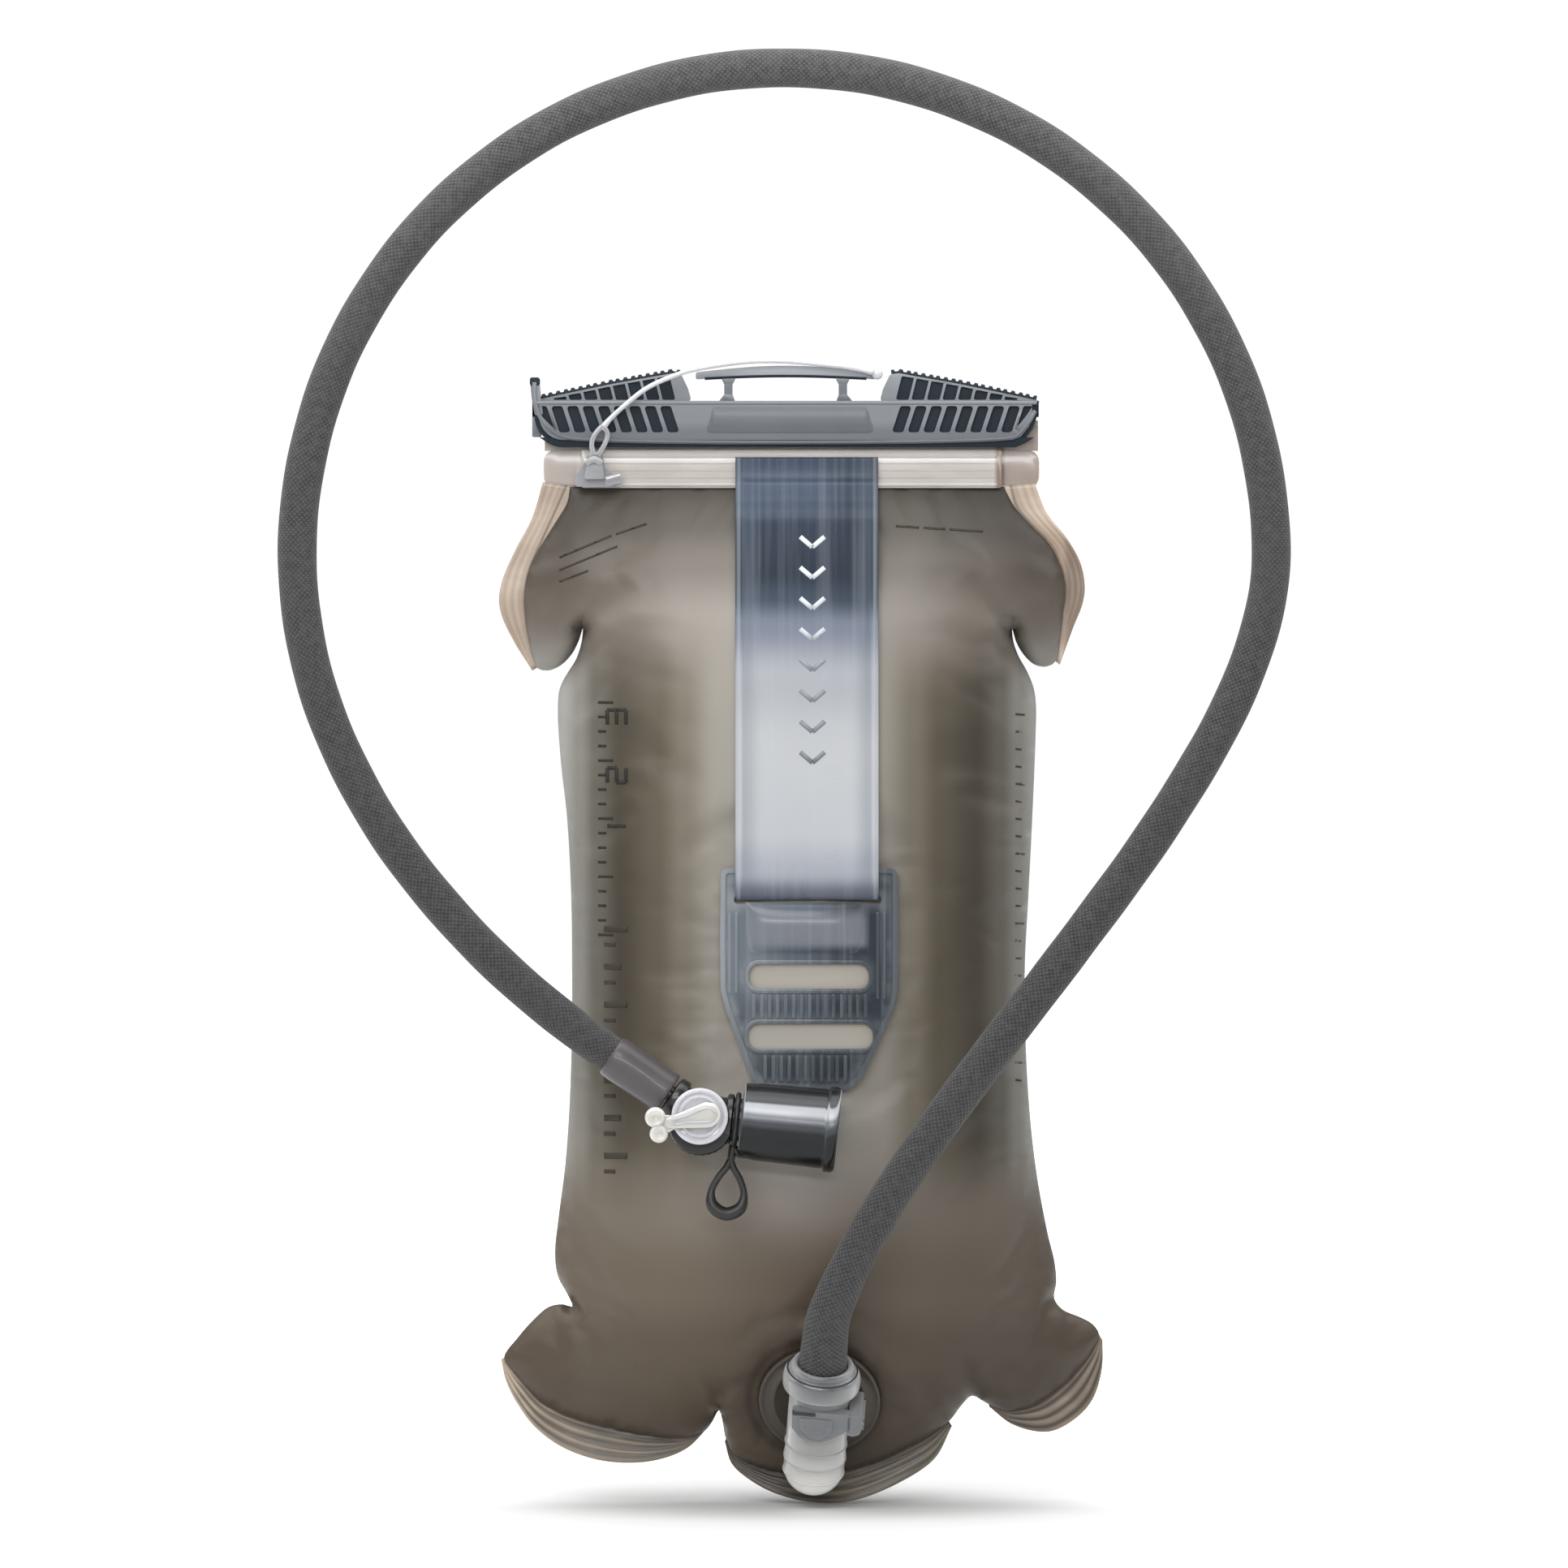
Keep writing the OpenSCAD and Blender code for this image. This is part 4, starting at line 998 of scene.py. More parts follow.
def wrap(obj, shift):
    """Moves a flat piece's points in y by shift(x, z), in mm."""
    mesh = obj.data
    co = read(mesh.vertices).reshape(-1, 3)
    co[:, 1] += shift(co[:, 0] / MM, co[:, 2] / MM) * MM
    mesh.vertices.foreach_set("co", co.ravel())
    mesh.update()
    return obj


def round_box(x0, x1, z0, z1, r, n=6):
    pts = []
    for cx, cz, a0 in ((x1 - r, z1 - r, 0), (x0 + r, z1 - r, 90), (x0 + r, z0 + r, 180),
            (x1 - r, z0 + r, 270)):
        for i in range(n + 1):
            a = math.radians(a0 + 90 * i / n)
            pts.append((cx + r * math.cos(a), cz + r * math.sin(a)))
    return pts


def inset(loop, d):
    """The loop moved inwards by d."""
    p = np.asarray(loop, float)
    area = np.sum(p[:, 0] * np.roll(p[:, 1], -1) - np.roll(p[:, 0], -1) * p[:, 1])
    a, b = p - np.roll(p, 1, 0), np.roll(p, -1, 0) - p
    a /= np.linalg.norm(a, axis=1)[:, None] + 1e-12
    b /= np.linalg.norm(b, axis=1)[:, None] + 1e-12
    t = a + b
    t /= np.linalg.norm(t, axis=1)[:, None] + 1e-12
    n = np.stack([-t[:, 1], t[:, 0]], 1) * (1 if area > 0 else -1)
    return p + n * d


def plate_outline():
    pts = [(-22.2, -165.0), (38.4, -165.0), (38.6, -190), (38.4, -207.5), (36.6, -214.5), (26.4, -237.0),
        (21.5, -241.2), (-7.0, -241.2), (-11.6, -237.4), (-20.2, -214.5), (-22.3, -207.0), (-22.5, -190)]
    return rounded(pts, 3.0)


def rounded(pts, r, n=5):
    """A polygon with its corners rounded."""
    p = np.asarray(pts, float)
    out = []
    for i in range(len(p)):
        a, b, c = p[i - 1], p[i], p[(i + 1) % len(p)]
        u, v = (a - b) / np.linalg.norm(a - b), (c - b) / np.linalg.norm(c - b)
        half = math.acos(np.clip(u @ v, -1, 1)) / 2
        d = min(r / max(math.tan(half), 1e-3), 0.45 * np.linalg.norm(a - b), 0.45 * np.linalg.norm(c - b))
        for t in np.linspace(0, 1, n + 1):
            out.append((1 - t) ** 2 * (b + u * d) + 2 * t * (1 - t) * b + t * t * (b + v * d))
    return np.array(out)


def fine(loop, step=2.0):
    """Extra points along the loop, so that a flat piece can follow a curved face."""
    p = np.asarray(loop, float)
    out = []
    for a, b in zip(p, np.roll(p, -1, 0)):
        m = max(1, int(np.linalg.norm(b - a) / step))
        out += [a + (b - a) * i / m for i in range(m)]
    return np.array(out)


def lattice(loop, step=3.0):
    """Even points inside a loop."""
    loop = np.asarray(loop, float)
    xs = np.arange(loop[:, 0].min(), loop[:, 0].max(), step)
    zs = np.arange(loop[:, 1].min(), loop[:, 1].max(), step)
    pts = np.stack(np.meshgrid(xs, zs), -1).reshape(-1, 2)
    pts = pts[within(pts, loop)]
    return pts[clearance(pts, loop) > 0.7 * step]


def slab_piece(name, outline, y0, y1, mat, holes=(), edge=0.4, step=2.5):
    """Like prism(), with enough points to be laid on a curved face."""
    loop = fine(outline, step)
    cuts = [fine(h, step) for h in holes]
    inner = lattice(loop, step)
    for cut in cuts:
        inner = inner[~within(inner, inset(cut, -0.9))]
    obj = plate_mesh(name, fill(loop, cuts, inner), y0, y1, mat)
    if edge:
        apply_modifiers(bevel(obj, edge, 2))
    return obj


def join(name, objs):
    """One object from several, with a material slot for each material in use."""
    mats, verts, faces, slots, n = [], [], [], [], 0
    for o in objs:
        if o.modifiers:
            apply_modifiers(o)
        verts += [tuple(v.co / MM) for v in o.data.vertices]
        for p in o.data.polygons:
            faces.append(tuple(n + i for i in p.vertices))
            m = o.data.materials[p.material_index]
            if m not in mats:
                mats.append(m)
            slots.append(mats.index(m))
        n += len(o.data.vertices)
        bpy.data.objects.remove(o)
    out = make(name, verts, faces, closed=False)
    for m in mats:
        out.data.materials.append(m)
    out.data.polygons.foreach_set("material_index", slots)
    out.data.update()
    return out


def sharp(obj, angle=40):
    """Flat faces stay flat: edges sharper than the angle aren't smoothed over."""
    bm = bmesh.new()
    bm.from_mesh(obj.data)
    limit = math.radians(angle)
    for e in bm.edges:
        if len(e.link_faces) == 2 and e.calc_face_angle(0) > limit:
            e.smooth = False
    bm.to_mesh(obj.data)
    bm.free()
    return obj


def build_plate(tree, mats):
    """The ladder plate: rimmed, finely ribbed, with two pale windows and a pillowed bar."""
    plate, pad = mats
    outline = plate_outline()
    slot_1 = round_box(STRAP_X - 25, STRAP_X + 25.5, -177.2, -174.4, 1.2)
    windows = [round_box(-12.6, 28.6, -206.4, -198.0, 3.6), round_box(-13.0, 30.0, -227.0, -218.4, 3.8)]
    parts = [slab_piece("plate_base", outline, -44.2, -PLATE_BACK, plate, [slot_1, *windows], 0.3)]
    parts.append(slab_piece("plate_rim", outline, -45.0, -43.9, plate, [inset(outline, 1.7)], 0.35))
    for w in windows:
        parts.append(slab_piece("frame", inset(w, -1.6), -44.9, -43.9, plate, [w], 0.3))
    # fine ribs between and below the windows
    for z0, z1, x0, x1 in ((-216.6, -208.2, -11, 27.5), (-238.4, -229.2, -7, 22)):
        for x in np.arange(x0, x1 + 0.1, 2.75):
            parts.append(slab_piece("rib", round_box(x - 0.62, x + 0.62, z0, z1, 0.5, 3), -44.65, -44.0,
                    plate, edge=0.25, step=3))
    for x in (-19.3, -17.0, 31.6, 34.0):
        foot = -208 if x < 0 else -210
        parts.append(slab_piece("rib", round_box(x - 0.55, x + 0.55, foot, -180, 0.5, 3), -44.6, -44.0,
                plate, edge=0.25, step=4))
    # the bar under the first slot bulges over the strap's tail
    u, v = np.meshgrid(np.linspace(-1, 1, 41), np.linspace(-1, 1, 25))
    bulge = np.clip(1 - np.abs(u) ** 3.5, 0, 1) ** 0.6 * np.clip(1 - np.abs(v) ** 2.2, 0, 1) ** 0.7
    x = 6.6 + 20.5 * u * (1 - 0.10 * (v < 0) * v * v)
    z = -185.6 + 8.8 * v
    top = np.stack([x, -44.0 - 2.9 * bulge, z], 2)
    bottom = np.stack([x, np.full_like(x, -43.6), z], 2)
    parts.append(sheet("pillow", top, bottom, plate))
    body = join("plate_body", parts)
    backs = join("plate_pads", [slab_piece("pad", inset(w, -0.6), -43.0, -42.3, pad,
                edge=0.0) for w in windows])
    # the whole plate follows the film's crown
    crown = {}

    def rest_y(x, z):
        key = (round(x), round(z))
        if key not in crown:
            crown[key] = film_y(tree, *key, miss=-40.0)
        return crown[key]

    xs, zs = np.arange(-26, 43, 4), np.arange(-246, -160, 4)
    raw = np.array([[rest_y(x, z) for x in xs] for z in zs])
    a = np.stack([np.ones(raw.size), *[g.ravel() for g in np.meshgrid(xs - PLATE_X, zs - PLATE_Z)]], 1)
    terms = np.stack([a[:, 0], a[:, 1], a[:, 2], a[:, 1] ** 2, a[:, 2] ** 2, a[:, 1] ** 4], 1)
    fit = np.linalg.lstsq(terms, raw.ravel(), rcond=None)[0]
    worst = float(np.min(raw.ravel() - terms @ fit))

    def shift(x, z):
        u, v = x - PLATE_X, z - PLATE_Z
        return np.stack([np.ones_like(u), u, v, u**2, v**2, u**4], 1) @ fit + worst - 0.05 + PLATE_BACK

    wrap(body, shift)
    wrap(backs, shift)
    return sharp(body), sharp(backs)


# ---------------------------------------------------------------- seal bar
BAR_HALF = 87.5


def arc(cx, cz, r, a0, a1, n):
    a = np.radians(np.linspace(a0, a1, n))
    return list(zip(cx + r * np.cos(a), cz + r * np.sin(a)))


def bar_outline(shrink=0.0, low=-20.0, high=-4.0):
    """The bar's lower body: a round corner at the left, a raked one at the right."""
    left = arc(-76.5, -9.0, 11.0 - shrink, 180, 270, 12)
    right = [(79.2 - shrink * 0.4, -20.0 + shrink), (82.6 - shrink * 0.6, -18.6 + shrink * 0.9),
        (85.8 - shrink * 0.8, -14.2 + shrink * 0.5), (87.4 - shrink, -10.0)]
    pts = [(-BAR_HALF + shrink, high), *left, *right, (BAR_HALF - shrink, high)]
    out = [(x, min(max(z, low), high)) for x, z in pts]
    return np.array([p for i, p in enumerate(out) if p != out[i - 1]])


def wing_outline(sgn):
    pts = [(sgn * 32.4, -4.2), (sgn * 33.6, 0.2), (sgn * 36.0, 5.2), (sgn * 39.0, 5.6), (sgn * 60, 1.9),
        (sgn * 80, -2.3), (sgn * 87.5, -3.9), (sgn * 87.5, -4.6)]
    return rounded(pts if sgn < 0 else pts[::-1], 1.4, 4)


def slanted(x0, x1, z0, z1, lean, r):
    """A pocket with round corners that leans outwards by `lean` from bottom to top."""
    return rounded([(x0, z0), (x1, z0), (x1 + lean, z1), (x0 + lean, z1)], r, 4)


def clip_top(loop, line, gap):
    """Lowers the points of a loop that stand higher than line(x) - gap."""
    return np.array([(x, min(z, line(abs(x)) - gap)) for x, z in loop])


def wing_top(x):
    """Height of a wing's top edge."""
    return float(np.interp(x, [36, 39, 60, 80, 87.5], [5.2, 5.6, 1.9, -2.3, -3.9]))


def build_bar(mats):
    """The slide-on bar: ribbed grips with finger pockets, two wings, a fin and a hanger."""
    skin, dark = mats
    low_holes, high_holes = [], []
    pitch = 5.35
    for sgn in (-1, 1):
        for i in range(9):
            a = 36.6 + i * pitch
            foot, lean = -14.9, 3.0
            if sgn > 0 and i == 8:
                lean = 2.6
            x0, x1 = a, a + pitch - 1.45
            loop = slanted(x0, x1, foot, -5.8, lean, 1.1)
            limit = lambda x: -15.6 + max(0.0, (x - 75.0) / (11.5 if sgn < 0 else 10.0)) ** 1.7 * 9.5
            loop = np.array([(x, max(z, limit(x))) for x, z in loop])
            low_holes.append(loop * [sgn, 1])
            z_top = wing_top(x0 + pitch / 2 + 3)
            if z_top > -2.3:
                b0, b1 = x0 + 1.4, x1 + 1.9
                top = min(z_top - 0.2, 4.6)
                high = slanted(b0, b1, -3.6, top, 0.25 * (top + 3.6), min(0.7, (top + 3.4) / 3))
                high_holes.append((sgn, clip_top(high, wing_top, 0.75) * [sgn, 1]))
    body = bar_outline(2.5)
    parts = []
    # outer skins with the finger pockets, front and back, over dark floors that paint the shade inside the
    # pockets
    for side in (-1, 1):
        parts.append(prism("skin", body, side * 5.4, side * 7.0, skin, 0.38, low_holes))
        parts.append(prism("floor", bar_outline(0.9), side * 4.3, side * 5.48, dark, 0.0))
        # painted shade: a dark undercut round the foot of the row
        parts.append(prism("lip", bar_outline(0.0, -20.0, -16.6), side * 2.3, side * 6.2, dark, 0.35))
    parts.append(prism("roof", round_box(-87.3, 87.3, -9.5, -4.1, 0.3), -4.4, 4.4, dark, 0.2))
    parts.append(prism("stop", round_box(-87.4, -84.3, -16.4, -4.2, 0.4), -4.4, 4.4, skin, 0.3))
    for side in (-1, 1):
        # a bead round the foot that runs up the closed end into the fin, and one between the rows
        foot = [(-74.0, -16.9), (76.5, -16.9), (80.0, -15.9), (83.2, -12.2), (86.0, -7.4)]
        corner = [(-86.6, 2.4), (-86.5, -3.0), (-85.0, -8.8), (-82.2, -12.8), (-78.6, -15.6)]
        path = [(x, side * 6.6, z) for x, z in spline(corner + foot, 1.6)]
        parts.append(tube("rim", path, 0.8, skin, 10))
        line = [(x, side * 6.9, -4.7) for x in np.linspace(-86.0, 86.6, 60)]
        parts.append(tube("rim", line, 0.62, skin, 8))
        # a plain raised field in the middle
        parts.append(prism("panel", rounded([(-27.5, -14.9), (30.5, -14.9), (27.9, -6.2), (-24.9, -6.2)],
                    1.6), side * 6.9, side * 7.3, skin, 0.18))
    # wings, over a dark web that paints the shade inside their pockets
    for sgn in (-1, 1):
        out = wing_outline(sgn)
        parts.append(prism("web", inset(out, 0.2), -0.95, 0.95, dark, 0.0))
        mine = [h for s, h in high_holes if s == sgn]
        for side in (-1, 1):
            parts.append(prism("wing", out, side * 0.9, side * 2.0, skin, 0.28, mine))
        top = [(sgn * x, 0.0, wing_top(x) + 0.05) for x in np.linspace(36.5, 86.5, 150)]
        # a row of small teeth along the top edge
        r = [0.75 + 0.75 * (math.sin(i * 0.82) > -0.1) for i in range(150)]
        parts.append(tube("edge", top, r, dark, 8))
    # finger fin at the closed end
    fin = [(-86.4, -9.0), (-87.6, -3.0), (-88.1, 2.4), (-87.6, 3.4), (-85.2, 3.4), (-84.9, 2.6),
        (-84.6, -1.0), (-83.6, -9.0)]
    parts.append(prism("fin", rounded(fin, 0.9), -6.4, 6.4, skin, 0.7))
    parts.append(prism("tip", round_box(-88.2, -84.8, 1.2, 4.1, 0.8), -6.6, 6.6, dark, 0.6))
    # hanger: two posts, an arched beam, hooked ends
    for sgn in (-1, 1):
        post = [(sgn * 17.2, -4.6), (sgn * 18.3, -1.8), (sgn * 18.3, 1.8), (sgn * 17.0, 4.2),
            (sgn * 22.4, 4.2), (sgn * 21.2, 1.8), (sgn * 21.2, -1.8), (sgn * 23.6, -4.6)]
        parts.append(prism("post", rounded(post if sgn < 0 else post[::-1], 0.8), -2.5, 2.5, skin, 0.5))
    xs = np.linspace(-31, 31, 41)
    rise = 2.3 * np.cos(xs / 31 * np.pi / 2)
    beam = np.vstack([np.stack([xs, 3.5 + 0.45 * rise], 1), np.stack([xs[::-1], 5.9 + rise[::-1]], 1)])
    parts.append(prism("beam", rounded(beam, 1.0, 3), -2.5, 2.5, skin, 0.7))
    under = [(x, -2.2, 3.62 + 0.45 * r) for x, r in zip(xs[2:-2], rise[2:-2])]
    parts.append(tube("shade", under, 0.55, dark, 8))
    return sharp(join("seal_bar_shell", parts))


# ---------------------------------------------------------------- mouth
def bar_x(name, profile, x0, x1, mat, step=4.0):
    """A (y, z) profile drawn out along X."""
    tris, pts = fill(profile)
    loop = order(boundary(tris))
    xs = np.linspace(x0, x1, max(2, int((x1 - x0) / step)))
    verts, faces, m = [], [], len(pts)
    for x in xs:
        verts += [(x, y, z) for y, z in pts]
    for i in range(len(xs) - 1):
        for a, b in zip(loop, loop[1:] + loop[:1]):
            faces.append((i * m + a, i * m + b, (i + 1) * m + b, (i + 1) * m + a))
    faces += [tuple(t) for t in tris] + [tuple(v + (len(xs) - 1) * m for v in reversed(t)) for t in tris]
    used = np.unique([v for f in faces for v in f])
    index = {v: i for i, v in enumerate(used)}
    return make(name, np.array(verts)[used], [tuple(index[v] for v in f) for f in faces], mat)


def order(edges):
    """The loop's points in order from its edges."""
    after = dict(edges)
    start = edges[0][0]
    loop = [start]
    while after[loop[-1]] != start:
        loop.append(after[loop[-1]])
    return loop


def build_strip(side, x0, x1, mat, low=-34.0):
    """Mouth strip of one film: a ridged band, a web and the bead that the bar slides on."""
    plate = rounded([(x0, low), (x1, low), (x1, -20.9), (x0, -20.9)], 4.5 if side > 0 else 1.0, 5)
    parts = [prism("band", plate, side * 0.15, side * 3.0, mat, 0.35)]
    # drawn ridges along its face
    for z, h in ((-23.2, 0.5), (-25.6, 0.22), (-28.0, 0.18), (-30.4, 0.22), (low + 1.1, 0.62)):
        path = [(x, side * 2.95, z) for x in np.linspace(x0 + 1.6, x1 - 1.6, 40)]
        parts.append(tube("ridge", path, h, mat, 8))
    web = [(side * 0.15, -21.2), (side * 1.5, -21.2), (side * 1.5, -12.5), (side * 0.15, -12.5)]
    parts.append(bar_x("web", web, x0 + 0.4, x1 - 0.4, mat))
    bead = [(side * 2.05 + 1.9 * math.cos(a), -12.5 + 1.9 * math.sin(a)) for a in np.linspace(0, 2 * np.pi,
            20, endpoint=False)]
    parts.append(bar_x("bead", bead, x0 + 0.4, x1 - 0.4, mat))
    return sharp(join("mouth_strip_" + ("front" if side < 0 else "back") + "_band", parts))


def build_clip(mat):
    """The T-shaped tab that holds the cord on the mouth strip."""
    parts = [prism("foot", rounded([(-72.4, -33.6), (-57.2, -33.6), (-57.6, -30.4), (-62.0, -28.0),
                    (-63.2, -22.4), (-66.4, -21.4), (-68.6, -24.0), (-72.6, -30.2)], 1.0), -6.2, -3.9, mat,
            0.5), prism("fold", rounded([(-69.6, -31.0), (-62.4, -31.0), (-64.0, -21.6), (-67.4, -21.6)],
                0.9), -8.6, -6.0, mat, 0.6), prism("toe",
            rounded([(-62.2, -33.8), (-55.9, -32.0), (-57.2, -28.8), (-62.4, -30.2)], 0.8), -7.0, -5.4,
            mat, 0.45), tube("loop", spline([(-66.4, -9.2, -21.8), (-66.8, -9.9, -18.6),
                    (-65.4, -10.1, -15.2), (-63.0, -9.6, -13.0), (-61.4, -9.3, -15.4),
                    (-62.4, -9.3, -19.0), (-64.6, -8.6, -22.6)], 0.6), 0.85, mat, 10),
        tube("bead", spline([(-68.6, -8.4, -25.5), (-66.0, -9.0, -24.2), (-63.6, -8.4, -25.4)], 0.5), 1.15,
            mat, 10)]
    return sharp(join("clip_tab", parts))


def build_cord(mat):
    """Clear flat cord from the clip over the left wing to the hanger's beam."""
    knots = [(-63.4, -9.2, -13.8), (-60.6, -9.4, -10.4), (-54.0, -9.6, -4.4), (-48.0, -9.4, 0.2),
        (-41.0, -8.4, 3.6), (-33.0, -7.6, 6.4), (-23.0, -6.6, 8.3), (-12.0, -5.8, 9.6), (-1.0, -5.3, 9.7),
        (12.0, -4.9, 8.6), (23.0, -4.7, 7.3), (30.4, -4.5, 5.8)]
    path = spline(knots, 1.0)
    s = np.linspace(0, 1, len(path))
    r = 0.85 + 0.35 * np.exp(-((s / 0.03) ** 2)) + 0.25 * np.exp(-(((s - 1) / 0.03) ** 2))
    cord = tube("cord", path, r, mat, 14)
    knob = lathe("knob", [(0, -1.6), (1.1, -1.5), (1.75, -0.8), (1.9, 0), (1.75, 0.8), (1.1, 1.5),
            (0, 1.6)], shifted(WHOLE, 31.6, -4.0, 5.2), mat, 20, "-y")
    return join("cord_run", [cord, knob])


# ---------------------------------------------------------------- port
def build_port(clear):
    """Body of the quick-release port: a clear capsule with a socket, rings inside and an outlet."""
    r = 10.5
    dome = [(r * math.sin(a), -34.5 - r * math.cos(a)) for a in np.linspace(0, np.pi / 2, 12)]
    profile = dome + [(r, -31.0), (r + 0.25, -30.6), (r + 0.25, -29.4), (r, -29.0), (r, -21.0),
        (r + 0.1, -12), (r, -4.0), (r - 0.5, -3.0), (9.4, -3.0), (9.0, -3.6), (8.6, -24.4), (8.0, -25.0),
        (4.3, -25.2), (4.3, -26.9), (6.2, -27.0), (6.2, -41.5), (0, -41.5)]
    parts = [lathe("shell", profile, PORT, clear, 72)]
    # moulded bands over the lower half
    for z in (-24.6, -30.6, -36.2):
        ring = [(r * math.cos(a), r * math.sin(a)) for a in np.linspace(0, 2 * np.pi, 60, endpoint=False)]
        rr = r if z > -34.5 else math.sqrt(max(r * r - (z + 34.5) ** 2, 1))
        path = to_world([(x / r * (rr - 0.05), y / r * (rr - 0.05), z) for x, y in ring + ring[:1]], PORT)
        parts.append(tube("band", path, 0.42, clear, 8, up=PORT_UP))
    stub = [(0, -4.0), (5.2, -4.0), (5.2, 14.6), (3.6, 14.6), (3.6, -1.0), (0, -1.0)]
    place = (PORT_R @ rot_x(-math.pi / 2), shifted(PORT, 0, 0, -34.0)[1])
    parts.append(lathe("stub", stub, place, clear, 40))
    return sharp(join("port_shell", parts))


def build_latch(mat, dark):
    """Grey latch face that narrows towards its foot, with a thumb pad at its right."""
    out = [(-9.2, -5.6), (10.8, -5.6), (11.2, -11.0), (9.2, -13.0), (4.6, -16.2), (1.6, -17.6),
        (-2.6, -17.6), (-6.0, -15.8), (-8.8, -12.4)]
    face = prism("face", rounded(out[::-1], 1.2), -12.2, -8.2, mat, 0.6, place=PORT)
    lens = [(-6.6, -8.0), (5.2, -8.0), (4.8, -12.6), (1.4, -15.8), (-2.2, -15.8), (-6.0, -12.0)]
    lens = prism("lens", rounded(lens[::-1], 1.3), -12.75, -11.9, mat, 0.35, place=PORT)
    # painted shadow: a dark slot in the latch face
    slot = prism("slot", round_box(-9.0, -1.0, -6.9, -5.7, 0.45), -12.55, -11.0, dark, 0.12, place=PORT)
    pad_out = [(10.2, -5.6), (15.0, -5.6), (15.3, -9.6), (14.6, -12.8), (12.2, -13.8), (10.2, -13.4)]
    pad = prism("pad", rounded(pad_out[::-1], 1.3), -12.2, 4.0, mat, 0.8, place=PORT)
    parts = [face, lens, slot, pad]
    for z in (-11.8, -9.8, -7.8):
        path = to_world([(15.25, y, z) for y in np.linspace(-9.6, 1.6, 12)], PORT)
        parts.append(tube("ridge", path, 0.62, mat, 10, up=PORT_UP))
    return sharp(join("latch_shell", parts))


def build_plug(mat, dark):
    """The hose's plug: two lips round the sleeve, a waist, then the nose that goes in the port."""
    p = [(0, -29), (2.4, -29), (2.7, -28.6), (2.7, -23.4), (5.2, -23.0), (5.7, -22.4), (5.7, -20.2),
        (4.3, -20.0), (4.3, -17.9), (5.7, -17.7), (5.7, -12), (7.6, -11.2), (8.1, -10.6), (8.1, -2.6),
        (9.2, -2.3), (12.6, -2.3), (13.1, -1.9), (13.35, -1.0), (13.4, 1.6), (13.1, 3.2), (12.9, 3.8),
        (12.4, 4.5), (11.7, 4.9), (11.1, 5.0), (10.7, 5.3), (10.8, 6.0), (10.6, 6.8), (10.1, 7.35),
        (9.5, 7.4), (8.9, 7.1), (8.6, 6.3), (8.5, 5.0), (8.5, 1.0), (0, 1.0)]
    body = lathe("plug", p, PORT, mat, 80)
    a = np.linspace(0, 2 * np.pi, 73)
    # painted shadow: a dark line in the step of the plug's collar
    gap = to_world([(12.05 * math.cos(t), 12.05 * math.sin(t), 4.95) for t in a], PORT)
    line = tube("groove_shade", gap, 0.28, dark, 6, up=PORT_UP)
    return sharp(join("plug_shell", [body, line]), 50)


def build_flange(mat):
    """Rings of the port's flange, welded to the film."""
    place = (PORT_R @ rot_x(math.pi / 2), shifted(PORT, 0, 11.1, -15.0)[1])
    p = [(0, 0.9), (5.4, 0.9), (14.8, 0.9), (15.4, 1.5), (16.2, 1.6), (16.8, 1.0), (19.4, 0.9),
        (20.0, 1.35), (20.8, 1.3), (21.0, 0.7), (21.0, -1.0), (0, -1.0)]
    return lathe("flange_disc", p, place, mat, 72)


# ---------------------------------------------------------------- bite valve
def build_valve(body):
    """Housing of the bite valve: a round base, a neck for the mouthpiece and a stem for the hose."""
    base = lathe("base", [(0, -9.0), (9.6, -9.0), (10.8, -8.6), (11.2, -7.8), (11.2, 2.0), (10.9, 2.4),
            (10.9, 3.2), (11.2, 3.6), (11.2, 6.4), (10.7, 7.0), (0, 7.0)], shifted(VALVE, 0.6, 0, -2.2),
        body, 64, "-y")
    neck = lathe("neck", [(0, 4.0), (7.3, 4.0), (7.3, 8.6), (7.8, 8.9), (8.4, 9.1), (8.7, 9.6),
            (8.7, 10.8), (8.3, 11.2), (7.5, 11.4), (7.4, 14.0), (7.4, 18.6), (7.0, 19.0), (0, 19.0)],
        VALVE, body, 56, "x")
    stem = lathe("stem", [(0, 6.0), (6.4, 6.0), (6.4, 8.2), (7.4, 8.5), (7.6, 9.2), (7.6, 11.4),
            (7.2, 12.0), (6.0, 12.2), (3.4, 12.4), (3.4, 22), (0, 22)], HOSE_END, body, 48, "x")
    parts = [base, neck, stem]
    # grip ribs round the waist
    for k in range(14):
        a = math.radians(25 + k * 12.0 - 178)
        c = np.array([0.6 + 11.05 * math.cos(a), 0, -2.2 + 11.05 * math.sin(a)])
        path = to_world([c + [0, y, 0] for y in np.linspace(-5.2, 7.0, 6)], VALVE)
        parts.append(tube("rib", path, 0.42, body, 8, up=MOUTH_OUT))
    return sharp(join("valve_shell", parts))


